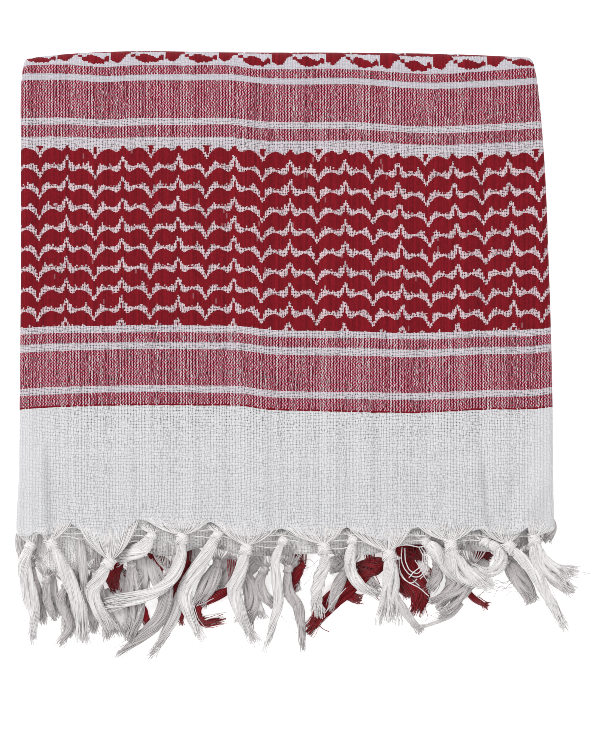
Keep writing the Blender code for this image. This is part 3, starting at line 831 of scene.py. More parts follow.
def woven(name, patterned, white=WHITE_YARN):
    """The cloth's material, reading its own coordinates in millimetres."""
    made, shader = new_material(name, CLOTH_ROUGHNESS, CLOTH_SHEEN)
    tree = made.node_tree
    place = tree.nodes.new("ShaderNodeUVMap")
    place.uv_map = "cloth"
    parts = tree.nodes.new("ShaderNodeSeparateXYZ")
    feed(parts.inputs[0], place.outputs[0])
    u, v = Value(tree, parts.outputs[0]), Value(tree, parts.outputs[1])
    yarns = laid_yarns(u, v, patterned)
    figure, field, stripes = cloth_zones(yarns, v, patterned)
    ground, height = ground_colour(yarns, u, v, stripes, field, white)
    feed(shader.inputs["Base Color"], figure.colours(ground, floating_colour(yarns, u, v)))
    float_relief = yarns.warp_off.flipped() * FLOAT_ROUND + FLOAT_HEIGHT
    relief = figure.mixed(height.math("MAXIMUM", RELIEF_LOWEST), float_relief)
    emboss(shader, relief, CLOTH_RELIEF, RELIEF_DEPTH)
    return made


patterned_cloth = woven("patterned_cloth", True)
# The second hem's weave is painted whiter than the front's: painted light, to offset the shadow of the front
# panel above it.
white_cloth = woven("white_cloth", False, (0.86, 0.84, 0.84))
print("weave:", len(patterned_cloth.node_tree.nodes), "nodes")

# %% [markdown]
# ## The form of the folded cloth
# These tables give the stack as seen from above: its two sides, its top fold and the soft creases and waves
# of its upper face. A crease is a low ridge with a trough along one side of it.
# %% The form of the folded cloth
TOP_FOLD_REACH, LOWER_FOLD_RADIUS = 0.0110, 0.0045
LOWER_FOLD_Y, LOWER_FOLD_TURN = -0.1085, math.radians(165)
CURL_RADIUS, CURL_DEPTH, LOWER_CURL_DEPTH = 0.0030, 0.0042, 0.0026
HEM_DROP, HEM_DROP_FROM, HEM_DROP_TO = 0.0028, -0.080, -0.118
SHOULDER_DROP, SHOULDER_FROM, SHOULDER_TO = 0.0008, 0.065, 0.109
CLOTH_THICKNESS = 0.0005
LEFT_X, RIGHT_X = 1, 2
SIDES = (
    # y, left x, right x
    (-0.1260, -0.1352, 0.1340),
    (-0.1180, -0.1355, 0.1344),
    (-0.0950, -0.1342, 0.1340),
    (-0.0500, -0.1335, 0.1335),
    (0.0100, -0.1330, 0.1318),
    (0.0700, -0.1330, 0.1292),
    (0.1000, -0.1330, 0.1266),
    (0.1200, -0.1318, 0.1240),
)
TOP_FOLD = (
    # x, y
    (-0.1340, 0.1172),
    (-0.1130, 0.1195),
    (-0.0830, 0.1210),
    (-0.0230, 0.1205),
    (0.0520, 0.1203),
    (0.0970, 0.1194),
    (0.1280, 0.1180),
)
CREASES = (
    # x and y at the hem end, x and y at the other end, height, half width, trough (- left, + right)
    (-0.0118, -0.1200, -0.0178, 0.1100, 0.0007, 0.0034, 0.35),
    (-0.1215, -0.1200, -0.1225, -0.0700, 0.0023, 0.0030, 0.6),
    (0.0985, -0.1200, 0.0945, -0.0760, 0.0023, 0.0030, 0.6),
    (0.1165, -0.1210, 0.1310, -0.0850, 0.0028, 0.0060, -0.5),
    (-0.0630, -0.1180, -0.0600, -0.0300, 0.0003, 0.0040, 0.5),
    (0.0400, -0.1180, 0.0330, 0.0200, 0.0003, 0.0050, -0.5),
    (0.0760, -0.0600, 0.0700, 0.1050, 0.0004, 0.0060, 0.4),
    (-0.0800, -0.0200, -0.0900, 0.1050, 0.0003, 0.0060, 0.4),
)
CREASE_FADE = 0.018
SOFT_WAVES = (
    # height, wavelength across, wavelength along, phase
    (0.00020, 0.093, 0.260, 0.4),
    (0.00014, 0.047, 0.170, 1.9),
    (0.00010, 0.019, 0.310, 0.7),
    (0.00008, 0.012, -0.150, 2.2),
    (0.00006, 0.0075, 0.090, 4.0),
)
TROUGH_ASIDE, TROUGH_WIDTH = 1.5, 0.7


def crease_height(x, y):
    """How far the creases raise the cloth."""
    total = 0.0
    for x0, y0, x1, y1, height, half_width, trough in CREASES:
        run = Vector((x1 - x0, y1 - y0))
        offset = Vector((x - x0, y - y0))
        part = offset.dot(run) / run.length_squared
        aside = run.cross(offset) / run.length * -1
        fade = 1 - ease(1 - CREASE_FADE / run.length, 1.0, part)
        fade *= ease(-0.2, 0.0, part)
        ridge = math.exp(-((aside / half_width) ** 2))
        side = math.copysign(TROUGH_ASIDE * half_width, trough)
        dip = abs(trough) * math.exp(-(((aside - side) / (TROUGH_WIDTH * half_width)) ** 2))
        total += height * fade * (ridge - dip)
    return total


def calm_top(y):
    """The stack's height without creases and waves."""
    hem_drop = HEM_DROP * ease(HEM_DROP_FROM, HEM_DROP_TO, y)
    return STACK_HEIGHT - hem_drop - SHOULDER_DROP * ease(SHOULDER_FROM, SHOULDER_TO, y)


def stack_top(x, y):
    """The height of the stack's upper face."""
    waves = sum(
        height * math.sin(TURN * (x / across + y / length) + phase)
        for height, across, length, phase in SOFT_WAVES
    )
    return calm_top(y) + crease_height(x, y) + waves


def top_fold_centre(x):
    return along(TOP_FOLD, x) - TOP_FOLD_REACH


print("stack:", round(stack_top(0.0, 0.0) / MM, 1), "mm high in its middle")

# %% [markdown]
# ## The slipped stripes
# Open cloth is easily pulled askew, so the stripes aren't straight. Two tables say how far they have slipped
# down, one at the lower bands and one at the upper bands.
# %% The slipped stripes
LOWER_SLIP = (
    # x, slip; both in mm
    (-133.5, 2.35),
    (-119.0, 1.35),
    (-105.5, 0.80),
    (-89.5, 0.35),
    (-73.0, 0.15),
    (-57.0, 0.15),
    (-38.0, 0.45),
    (-20.5, 0.90),
    (-14.0, 1.85),
    (-5.5, 2.80),
    (7.0, 3.10),
    (35.5, 3.55),
    (64.5, 3.95),
    (83.5, 3.30),
    (102.5, 2.35),
    (117.0, 2.40),
    (126.5, 1.85),
    (134.0, 0.70),
)
UPPER_SLIP = (
    # x, slip; both in mm
    (-132.5, 0.0),
    (-109.5, -0.1),
    (-89.5, 0.8),
    (-74.0, 0.1),
    (-47.5, 0.1),
    (-25.5, 0.2),
    (-15.0, 1.5),
    (7.0, 2.1),
    (26.0, 1.80),
    (38.5, 2.15),
    (48.0, 2.85),
    (60.5, 3.85),
    (74.0, 4.3),
    (88.5, 3.85),
    (102.5, 3.2),
    (117.0, 2.4),
    (127.5, 1.6),
)
SLIP_FROM, SLIP_LENGTH = 62.0, 130.0


def slip(x_mm, along_mm):
    """How far the cloth's coordinates have slipped at a place on it, in mm."""
    part = min(max((along_mm - SLIP_FROM) / SLIP_LENGTH, 0.0), 1.0)
    return along(LOWER_SLIP, x_mm) * (1 - part) + along(UPPER_SLIP, x_mm) * part


print("most slip:", max(row[1] for row in LOWER_SLIP + UPPER_SLIP), "mm")

# %% [markdown]
# ## The knotted hem
# Below the weaving only the warps go on, and each group of them runs into one knot. So the weaving ends in a
# row of arches that hang towards the knots, and the knots draw the last of it together.
# %% The knotted hem
Group = collections.namedtuple("Group", "left_x left_y knot_x knot_y right_x right_y")
GROUPS = (
    Group(-0.1353, -0.1205, -0.1285, -0.1250, -0.1232, -0.1205),
    Group(-0.1232, -0.1205, -0.1177, -0.1245, -0.1060, -0.1155),
    Group(-0.1060, -0.1155, -0.0890, -0.1340, -0.0725, -0.1140),
    Group(-0.0725, -0.1140, -0.0522, -0.1220, -0.0370, -0.1155),
    Group(-0.0370, -0.1155, -0.0201, -0.1270, -0.0025, -0.1190),
    Group(-0.0025, -0.1190, 0.0190, -0.1265, 0.0295, -0.1183),
    Group(0.0295, -0.1183, 0.0515, -0.1300, 0.0635, -0.1180),
    Group(0.0635, -0.1180, 0.0825, -0.1250, 0.0953, -0.1190),
    Group(0.0953, -0.1190, 0.1120, -0.1255, 0.1200, -0.1165),
    Group(0.1200, -0.1165, 0.1245, -0.1225, 0.1350, -0.1200),
)
WOVEN_SHARE, PULL_ABOVE, PULL_MOST, PULL_LIMIT = 0.58, 0.9, 0.45, 0.7
ARCH_ROUND = 0.85


def group_at(x):
    """(the group, how far x is from its knot to its end, from 0 to 1, y of the line between its ends)."""
    group = next((one for one in GROUPS if x <= one.right_x), GROUPS[-1])
    part = min(max((x - group.left_x) / (group.right_x - group.left_x), 0.0), 1.0)
    end = group.left_x if x < group.knot_x else group.right_x
    share = min((x - group.knot_x) / (end - group.knot_x), 1.0)
    return group, share, group.left_y * (1 - part) + group.right_y * part


def woven_edge(x):
    """Where the weaving ends, and only warps go on."""
    group, share, line_y = group_at(x)
    arch = math.sin(min((1 - share) / ARCH_ROUND, 1.0) * math.pi / 2)
    return line_y - (line_y - group.knot_y) * WOVEN_SHARE * arch


def drawn_in(x, y):
    """x of a warp that lies at x far from the hem, where the knots draw the warps together."""
    group, share, line_y = group_at(x)
    down = (line_y - y) / (line_y - group.knot_y)
    pull = PULL_MOST * max((down + PULL_ABOVE) / (WOVEN_SHARE + PULL_ABOVE), 0.0) ** 2
    return x + (group.knot_x - x) * min(pull, PULL_LIMIT) * (1 - share * share)


print("groups of warps:", len(GROUPS))

# %% [markdown]
# ## The outer cloth
# The cloth is one continuous length: from the knotted hem up the front, half round the top fold, back along
# the table and up round the lower fold. Its two long sides curl inwards, above and below. One dense grid
# follows all of it, with its own coordinates in millimetres: across, and along from the hem. The pattern
# reads these, so the stripes run on over the fold.
# %% The outer cloth
CURL_COLUMNS, FLAT_COLUMNS = 6, 172
FRONT_ROWS, TOP_ROWS, BACK_ROWS, ROLL_ROWS = 112, 22, 26, 14
OUTER_COLUMNS = FLAT_COLUMNS + 2 * CURL_COLUMNS
OUTER_ROWS = FRONT_ROWS + TOP_ROWS + BACK_ROWS + ROLL_ROWS
# The cloth over the top fold, in mm: half a turn at the mean of the fold's reach and its half height.
TOP_ARC = 9.9 * math.pi
FOLD_ALONG = 227.0
ROW_CROWDING = 1.45


def side_turn(column, y, depth):
    """(x, how far in from the outer face, distance across the cloth in mm) of a column."""
    left, right = along(SIDES, y, LEFT_X), along(SIDES, y, RIGHT_X)
    radius = CURL_RADIUS * depth / CURL_DEPTH
    turns = max(CURL_COLUMNS - column, column - CURL_COLUMNS - FLAT_COLUMNS)
    if turns <= 0:
        share = (column - CURL_COLUMNS) / FLAT_COLUMNS
        x = left + radius + (right - left - 2 * radius) * share
        return x, 0.0, x * 1000
    edge, inward = (left, 1) if column < CURL_COLUMNS else (right, -1)
    angle = min(turns / (CURL_COLUMNS - 1), 1.0) * math.pi / 2
    past_turn = depth - radius if turns == CURL_COLUMNS else 0.0
    x = edge + inward * radius * (1 - math.sin(angle))
    run = radius * angle + past_turn
    return x, radius * (1 - math.cos(angle)) + past_turn, (edge + inward * (radius - run)) * 1000


def lay_outer(column, row):
    """The grid's rule: up the front, over the top fold, down the back and round the lower fold."""
    flat_x, _, _ = side_turn(column, 0.0, CURL_DEPTH)
    centre = top_fold_centre(flat_x)
    if row <= FRONT_ROWS:
        share = (row / FRONT_ROWS) ** ROW_CROWDING
        y = woven_edge(flat_x) * (1 - share) + centre * share
        x, depth, across_mm = side_turn(column, y, CURL_DEPTH)
        height = stack_top(x, y)
        along_mm = (y - HEM_LINE_Y) * 1000
        place = Vector((drawn_in(x, y), y, height - depth * height / STACK_HEIGHT))
        return place, across_mm, along_mm + slip(x * 1000, along_mm)
    top_start = (centre - HEM_LINE_Y) * 1000 + slip(flat_x * 1000, FOLD_ALONG)
    if row <= FRONT_ROWS + TOP_ROWS:
        share = (row - FRONT_ROWS) / TOP_ROWS
        angle = math.pi / 2 - math.pi * share
        x, depth, across_mm = side_turn(column, centre + TOP_FOLD_REACH * math.cos(angle), CURL_DEPTH)
        half = stack_top(x, centre) / 2
        reach = TOP_FOLD_REACH - depth
        place = Vector((x, centre + reach * math.cos(angle), half + (half - depth) * math.sin(angle)))
        return place, across_mm, top_start + TOP_ARC * share
    share = min((row - FRONT_ROWS - TOP_ROWS) / BACK_ROWS, 1.0)
    y = centre * (1 - share) + LOWER_FOLD_Y * share
    x, depth, across_mm = side_turn(column, y, CURL_DEPTH * (1 - share) + LOWER_CURL_DEPTH * share)
    back_mm = top_start + TOP_ARC + (centre - y) * 1000
    if share < 1.0:
        return Vector((x, y, depth)), across_mm, back_mm
    part = (row - FRONT_ROWS - TOP_ROWS - BACK_ROWS) / ROLL_ROWS
    angle, radius = LOWER_FOLD_TURN * part, LOWER_FOLD_RADIUS - depth
    place = Vector((x, LOWER_FOLD_Y - radius * math.sin(angle), LOWER_FOLD_RADIUS - radius * math.cos(angle)))
    return place, across_mm, back_mm + LOWER_FOLD_RADIUS * angle * 1000


outer_cloth = add_piece(
    "outer_cloth",
    laid_sheet("outer_cloth", OUTER_COLUMNS, OUTER_ROWS, lay_outer),
    patterned_cloth,
    ("front_panel", "top_fold", "back_panel"),
)
thicken(outer_cloth, CLOTH_THICKNESS)
print("outer cloth:", len(outer_cloth.data.polygons), "faces")

# %% [markdown]
# ## The hidden folds
# Fourteen layers lie between the front and the back. They are never seen apart, so they are one block whose
# sides and ends are shaped into rounded folds, each a little further in or out than the next and wandering
# along the stack. A cube is sliced into levels and stations first, and then every vertex is put in its place.
# %% The hidden folds
INNER_END_Y = -0.1080
INNER_LEVELS, INNER_STATIONS, INNER_COLUMNS = 56, 60, 12
INNER_LOW, INNER_HIGH = 0.0015, 0.0165
BUNDLE_MIDDLE = 0.0090
SIDE_FOLDS = 8
HOLLOW_DEPTH, WANDER, FOLD_CLEARANCE = 0.0007, 0.00030, 0.0004
TOP_END_GAP, LEAST_SQUEEZE = 0.0019, 0.02
ABOVE_FOLDS, FRONT_CLEARANCE = 0.0005, 0.0018
END_BULGE = 0.0009
# How far along the cloth its back starts, and the y at which it does, in mm.
BACK_START, BACK_START_Y = 258.0, 108.5
INNER_SIDE = (
    # height, how far in from the side of the stack
    (0.0015, 0.0034),
    (0.0030, 0.0019),
    (0.0045, 0.0018),
    (0.0052, 0.0007),
    (0.0068, 0.0002),
    (0.0084, 0.0007),
    (0.0090, 0.0020),
    (0.0096, 0.0007),
    (0.0112, 0.0002),
    (0.0128, 0.0007),
    (0.0135, 0.0018),
    (0.0150, 0.0019),
    (0.0165, 0.0034),
)


def slice_across(bm, axis, places):
    """Cuts a mesh at each of these places along an axis."""
    normal = Vector((0.0, 0.0, 0.0))
    normal[axis] = 1.0
    for place in places:
        geometry = bm.verts[:] + bm.edges[:] + bm.faces[:]
        bmesh.ops.bisect_plane(bm, geom=geometry, plane_co=normal * place, plane_no=normal)


def fold_inset(level, y, side):
    """How far in a hidden layer's fold lies, at a share of the height from 0 to 1."""
    height = INNER_LOW + (INNER_HIGH - INNER_LOW) * level
    base = along(INNER_SIDE, height)
    place = level * SIDE_FOLDS
    number = math.floor(place)
    hollow = (2 * abs(place - number - 0.5)) ** 3 * HOLLOW_DEPTH
    wander = math.sin(TURN * y / 0.13 + number * 2.4 + side) + 0.5 * math.sin(TURN * y / 0.047 + number * 4.1)
    return base + hollow + WANDER * wander + FOLD_CLEARANCE


def inner_place(side, part, level, top_end):
    """Where a vertex of the block lies: across from -1 to 1, along and up from 0 to 1."""
    y = INNER_END_Y + (top_end - INNER_END_Y) * part
    beyond = max(y - top_fold_centre(0.0), 0.0) / (top_end - top_fold_centre(0.0))
    squeeze = math.sqrt(max(1 - beyond**2, LEAST_SQUEEZE))
    inset = fold_inset(level, y, math.copysign(1.0, side))
    left, right = along(SIDES, y, LEFT_X) + inset, along(SIDES, y, RIGHT_X) - inset
    x = (left + right) / 2 + (right - left) / 2 * side
    local = calm_top(y) - ABOVE_FOLDS
    height = (INNER_LOW + (INNER_HIGH - INNER_LOW) * level) * local / STACK_HEIGHT
    height = min(height, local - FRONT_CLEARANCE)
    if beyond > 0:
        y += top_fold_centre(x) - top_fold_centre(0.0)
    if part == 0.0:
        y -= END_BULGE * math.sin(math.pi * (level * SIDE_FOLDS % 1.0)) * min(10 * (1 - abs(side)), 1.0)
    return Vector((x, y, local / 2 + (height - local / 2) * squeeze))


def inner_mesh():
    """The block of folds, with the coordinates of the cloth around it."""
    bm = bmesh.new()
    bmesh.ops.create_cube(bm, size=2.0)
    for axis, parts in ((2, INNER_LEVELS), (1, INNER_STATIONS), (0, INNER_COLUMNS)):
        slice_across(bm, axis, [2 * index / parts - 1 for index in range(1, parts)])
    cloth = bm.loops.layers.uv.new("cloth")
    top_end = top_fold_centre(0.0) + TOP_FOLD_REACH - TOP_END_GAP
    for vertex in bm.verts:
        across, along_part, up = vertex.co
        vertex.co = inner_place(across, (along_part + 1) / 2, (up + 1) / 2, top_end)
    for face in bm.faces:
        lower = face.calc_center_median().z < BUNDLE_MIDDLE
        for loop in face.loops:
            x, y, z = loop.vert.co * 1000
            v = BACK_START + BACK_START_Y - y if lower else y - HEM_LINE_Y * 1000
            loop[cloth].uv = (x + math.copysign(z, x), v + (z if abs(face.normal.y) > 0.5 else 0.0))
    mesh = bpy.data.meshes.new("inner_folds")
    bm.to_mesh(mesh)
    bm.free()
    return mesh


inner_folds = add_piece("inner_folds", inner_mesh(), patterned_cloth, ("inner_layers",))
print("hidden folds:", len(inner_folds.data.polygons), "faces")

# %% [markdown]
# ## The second hem
# The other end of the cloth lies just under the front panel and droops a little beyond it. It shows in the
# arches between the knots, so it is a plain thin sheet of the white weave with its own uneven edge.
# %% The second hem
SECOND_HEM_FROM_Y, SECOND_INSET = -0.0900, 0.0045
SECOND_FALL, SECOND_FALL_FROM, SECOND_FALL_TO = 0.0060, -0.1125, -0.1330
SECOND_EDGE = (
    # x, y
    (-0.1300, -0.1290),
    (-0.1220, -0.1385),
    (-0.1120, -0.1415),
    (-0.0980, -0.1350),
    (-0.0780, -0.1300),
    (-0.0600, -0.1335),
    (-0.0420, -0.1290),
    (-0.0200, -0.1330),
    (0.0150, -0.1320),
    (0.0430, -0.1325),
    (0.0620, -0.1275),
    (0.0900, -0.1305),
    (0.1180, -0.1290),
    (0.1300, -0.1230),
)
SECOND_COLUMNS, SECOND_ROWS = 130, 26
BELOW_FRONT = 0.0020
SECOND_SHIFT = 3.1
RIPPLE_FROM, RIPPLE_TO = -0.110, -0.125


def second_hem_top(y):
    """The height of the second hem's upper face."""
    fall = SECOND_FALL * ease(SECOND_FALL_FROM, SECOND_FALL_TO, y)
    return calm_top(y) - BELOW_FRONT - fall


def lay_second(column, row):
    """The grid's rule: from the uneven edge up to a straight line under the front panel."""
    left = along(SIDES, SECOND_HEM_FROM_Y, LEFT_X) + SECOND_INSET
    right = along(SIDES, SECOND_HEM_FROM_Y, RIGHT_X) - SECOND_INSET
    x = left + (right - left) * column / SECOND_COLUMNS
    share = row / SECOND_ROWS
    edge = along(SECOND_EDGE, x)
    y = edge * (1 - share) + SECOND_HEM_FROM_Y * share
    ripple = 0.00025 * math.sin(TURN * x / 0.031) + 0.00018 * math.sin(TURN * x / 0.013 + 2.0)
    place = Vector((x, y, second_hem_top(y) + ripple * ease(RIPPLE_FROM, RIPPLE_TO, y)))
    return place, x * 1000 + SECOND_SHIFT, (y - edge) * 1000


second_hem = add_piece(
    "second_hem_cloth",
    laid_sheet("second_hem_cloth", SECOND_COLUMNS, SECOND_ROWS, lay_second),
    white_cloth,
    ("second_hem",),
)
thicken(second_hem, CLOTH_THICKNESS)
print("second hem:", len(second_hem.data.polygons), "faces")

# %% [markdown]
# ## Fringe yarn
# The yarn is soft two-ply cotton. Its colour changes a little from yarn to yarn and along each yarn, the ply
# shows as a fine slant across it, and a light sheen stands for the nap. Each yarn's own shade, its tone less
# the painted shade of its row, and the length along it come from the mesh as attributes.
# %% Fringe yarn
FRINGE_ROUGHNESS, FRINGE_SHEEN = 0.92, 0.25
FRINGE_RELIEF, FRINGE_DEPTH = 0.3, 0.00015
PLY_TURNS, PLY_SLANT = 5.2, 2.2
# How much the yarn's own shade, its slubs and its ply brighten it.
FRINGE_SHADES, FRINGE_DARKEST = (0.26, 0.18, 0.08), 0.46


def attribute(tree, name):
    node = tree.nodes.new("ShaderNodeAttribute")
    node.attribute_name = name
    return Value(tree, node.outputs["Fac"])


def fringe_yarn(name, bright, dull):
    """The material of one colour of yarn."""
    made, shader = new_material(name, FRINGE_ROUGHNESS, FRINGE_SHEEN)
    tree = made.node_tree
    tone, length = attribute(tree, "shade"), attribute(tree, "run")
    where = tree.nodes.new("ShaderNodeTexCoord")
    parts = tree.nodes.new("ShaderNodeSeparateXYZ")
    feed(parts.inputs[0], where.outputs["Object"])
    x, y = (Value(tree, output) * 1000.0 for output in parts.outputs[:2])
    slub = cloudy(length * 0.35 + tone * 91.0, tone * 57.0, 2.0)
    ply = (length * PLY_TURNS + (x - y) * PLY_SLANT + tone * 20.0).math("SINE") * 0.5 + 0.5
    amount = weighed((tone, slub, ply), FRINGE_SHADES, FRINGE_DARKEST)
    feed(shader.inputs["Base Color"], amount.colours(dull, bright))
    emboss(shader, ply * 0.6 + slub, FRINGE_RELIEF, FRINGE_DEPTH)
    return made


# The white yarn's darker colour is warm grey: its painted shade and its darkest tones go towards it, with a
# painted red reflection in it.
white_fringe = fringe_yarn("white_fringe", (0.93, 0.91, 0.912), (0.44, 0.395, 0.395))
red_fringe = fringe_yarn("red_fringe", (0.27, 0.005, 0.012), (0.07, 0.002, 0.004))
print("yarn ready")

# %% [markdown]
# ## The tassels' routes
# Below each knot the warps hang as a flattened bundle of loose yarns. The tassels come in four rows. The red
# fringe of the square's sides lies lowest, then the fringe of the lower layers, then a few small tassels, and
# the front hem's own lie on top. Each one's route is a list of places from its knot to its tip.
# %% The tassels' routes
SIDE_ROW, LOWER_ROW, SMALL_ROW, FRONT_ROW = range(4)
Row = collections.namedtuple("Row", "knot_width knot_length knot_height fan_half fan_warps dull")
# The last column is painted shade: how much darker a row's yarns are painted, for the shadow of the rows
# above them; under 0 a row is painted lighter, as painted light.
ROWS = (
    Row(0.0036, 0.0036, 0.0030, 0.0030, 12, 0.0),
    Row(0.0048, 0.0050, 0.0038, 0.0085, 26, 1.60),
    Row(0.0054, 0.0054, 0.0040, 0.0075, 26, -0.45),
    Row(0.0068, 0.0070, 0.0048, 0.0, 84, -0.30),
)
TASSELS = (
    # name, row, width, width at the tip, turns, fray, and the route from its knot to its tip; all in mm
    ("side_tassel_1", SIDE_ROW, 8, 6, 0.1, 1,
     ((-84.0, -134.5), (-87.7, -143.2), (-85.1, -151.9))),
    ("side_tassel_2", SIDE_ROW, 7, 6, 0.1, 1,
     ((-50.0, -136.5), (-53.2, -144.3), (-57.3, -150.8), (-61.3, -156.9))),
    ("side_tassel_3", SIDE_ROW, 5, 4.5, 0.1, 1,
     ((-27.0, -150.0), (-37.5, -154.9), (-43.6, -157.9), (-45.1, -163.0), (-41.6, -167.0), (-33.0, -166.0))),
    ("side_tassel_4", SIDE_ROW, 6, 3, 0.1, 1.3,
     ((8.0, -138.5), (3.5, -145.8), (0.9, -153.9))),
    ("side_tassel_5", SIDE_ROW, 9.5, 4.5, 0.1, 1.2,
     ((42.0, -142.5), (33.3, -147.3), (25.2, -154.4), (18.1, -161.5), (11.6, -170.6))),
    ("side_tassel_6", SIDE_ROW, 9, 8, 0.1, 1,
     ((50.0, -136.0), (43.4, -139.2), (35.3, -141.2))),
    ("side_tassel_7", SIDE_ROW, 12, 6.5, 0.1, 1.3,
     ((64.0, -133.0), (61.7, -138.7), (63.2, -145.8), (67.8, -152.9), (66.2, -162.0))),
    ("side_tassel_8", SIDE_ROW, 3.4, 3, 0.1, 1.6,
     ((86.0, -146.0), (96.1, -155.9), (101.7, -159.4))),
    ("lower_tassel_01", LOWER_ROW, 6, 3.5, 0.1, 1,
     ((-129.0, -137.0), (-128.0, -145.7), (-125.5, -155.8), (-123.5, -166.9))),
    ("lower_tassel_02", LOWER_ROW, 4.6, 3, 0.1, 1,
     ((-121.0, -145.0), (-121.0, -153.8), (-116.9, -165.4))),
    ("lower_tassel_03", LOWER_ROW, 5.4, 3.2, 0.3, 0.8,
     ((-111.0, -148.0), (-113.9, -155.8), (-111.3, -162.9), (-109.3, -169.4), (-113.9, -177.5))),
    ("lower_tassel_04", LOWER_ROW, 8, 8, 0.05, 1.2,
     ((-96.0, -142.5), (-95.2, -151.7), (-92.1, -160.9), (-87.6, -174.0))),
    ("lower_tassel_05", LOWER_ROW, 8, 7, 0.05, 1.2,
     ((-78.0, -137.5), (-77.0, -150.7), (-75.4, -161.9), (-79.0, -174.5))),
    ("lower_tassel_06", LOWER_ROW, 7, 3, 0.3, 0.8,
     ((-60.0, -141.5), (-60.8, -154.8), (-64.8, -166.4), (-72.9, -174.5), (-83.5, -182.1))),
    ("lower_tassel_07", LOWER_ROW, 9, 7, 0.05, 1.2,
     ((-35.0, -137.0), (-36.5, -143.2), (-41.0, -151.2), (-43.6, -158.3))),
    ("lower_tassel_08", LOWER_ROW, 8, 9, 0.05, 1.6,
     ((-21.5, -140.0), (-17.8, -150.7), (-17.3, -158.8), (-21.3, -167.9))),
    ("lower_tassel_09", LOWER_ROW, 6.4, 5, 0.1, 1,
     ((-11.0, -140.5), (-13.7, -147.7), (-10.2, -154.8), (-4.6, -159.3))),
    ("lower_tassel_10", LOWER_ROW, 5.6, 3, 0.4, 0.8,
     ((1.0, -139.5), (1.4, -151.7), (5.5, -157.8), (7.5, -166.9), (8.5, -180.1))),
    ("lower_tassel_11", LOWER_ROW, 5.8, 4, 0.1, 1,
     ((31.0, -139.5), (26.2, -148.7), (22.7, -160.3))),
    ("lower_tassel_12", LOWER_ROW, 5.6, 4.6, 0.1, 1,
     ((76.0, -136.0), (76.3, -143.7), (72.2, -151.2))),
    ("lower_tassel_13", LOWER_ROW, 11, 11, 0.05, 1.3,
     ((93.0, -138.5), (87.9, -149.7), (82.4, -155.8), (76.3, -160.3))),
    ("lower_tassel_14", LOWER_ROW, 9, 8, 0.05, 1.2,
     ((111.0, -136.5), (116.7, -143.2), (121.3, -149.7), (124.8, -156.3))),
    ("lower_tassel_15", LOWER_ROW, 7, 6, 0.05, 1,
     ((122.0, -134.0), (126.4, -138.1), (127.9, -144.2))),
    ("small_tassel_1", SMALL_ROW, 7.4, 2.6, 0.7, 0.8,
     ((-128.5, -127.5), (-131.7, -136.3), (-130.2, -147.9), (-127.2, -160.6), (-128.7, -176.2))),
    ("small_tassel_2", SMALL_ROW, 7.6, 6.6, 0.1, 0.8,
     ((-67.5, -122.5), (-71.2, -128.3), (-77.3, -131.8), (-85.3, -133.8))),
    ("small_tassel_3", SMALL_ROW, 7.6, 4.6, 0.3, 1,
     ((-34.5, -122.0), (-40.4, -132.8), (-47.0, -142.9), (-51.5, -151.5), (-50.0, -160.6), (-44.0, -173.2))),
    ("small_tassel_4", SMALL_ROW, 5.2, 3.4, 0.4, 0.7,
     ((-1.5, -125.0), (-5.1, -134.3), (-5.1, -145.4), (-3.6, -155.5), (-6.1, -166.6), (-9.6, -178.2))),
    ("small_tassel_5", SMALL_ROW, 5.6, 3.2, 0.4, 0.8,
     ((33.5, -124.5), (32.2, -134.3), (33.2, -142.9), (37.8, -148.4), (46.9, -153.5))),
    ("small_tassel_6", SMALL_ROW, 8, 6, 0.3, 0.8,
     ((69.8, -125.5), (75.6, -130.8), (82.2, -138.4), (89.7, -145.4))),
    ("small_tassel_7", SMALL_ROW, 6.4, 4.6, 0.5, 0.7,
     ((100.0, -125.5), (106.9, -129.8), (107.9, -136.3), (102.4, -141.4), (94.8, -139.4))),
    ("front_tassel_1", FRONT_ROW, 7.0, 5.8, 0.45, 1,
     ((-117.7, -126.8), (-114.5, -133.2), (-109.9, -143.3), (-104.9, -156.4), (-102.4, -176.6))),
    ("front_tassel_2", FRONT_ROW, 7.4, 8, 0.3, 1.4,
     ((-89.0, -136.2), (-93.3, -143.8), (-97.3, -150.4), (-94.8, -159.4), (-87.8, -169.0))),
    ("front_tassel_3", FRONT_ROW, 6.2, 8.4, 0.3, 1.5,
     ((-52.2, -124.2), (-53.0, -134.2), (-58.0, -145.3), (-67.1, -151.9), (-77.7, -155.4), (-88.3, -157.9))),
    ("front_tassel_4", FRONT_ROW, 7, 4.8, 0.45, 1.2,
     ((-20.1, -129.2), (-22.7, -140.3), (-26.3, -150.4), (-23.7, -161.4), (-17.2, -176.1))),
    ("front_tassel_5", FRONT_ROW, 6.2, 7.0, 1.1, 1.5,
     ((19.0, -128.7), (19.6, -136.2), (16.6, -145.3), (15.1, -153.4), (16.6, -162.5))),
    ("front_tassel_6", FRONT_ROW, 8.4, 11, 0.2, 1.3,
     ((51.5, -132.2), (52.4, -141.3), (52.4, -152.4), (51.9, -166.5))),
    ("front_tassel_7", FRONT_ROW, 9.5, 6, 0.5, 0.8,
     ((82.5, -127.2), (84.1, -134.2), (88.1, -140.3), (96.2, -144.8), (102.3, -147.3))),
    ("front_tassel_8", FRONT_ROW, 5.8, 4.6, 0.5, 1.2,
     ((112.0, -127.7), (119.9, -135.2), (126.4, -143.8), (132.5, -153.9), (140.6, -169.5))),
    ("front_tassel_9", FRONT_ROW, 9, 14, 0.35, 1.6,
     ((124.5, -124.5), (127.5, -135.2), (134.0, -140.8), (145.1, -145.3))),
)
print("tassels to make:", len(TASSELS))

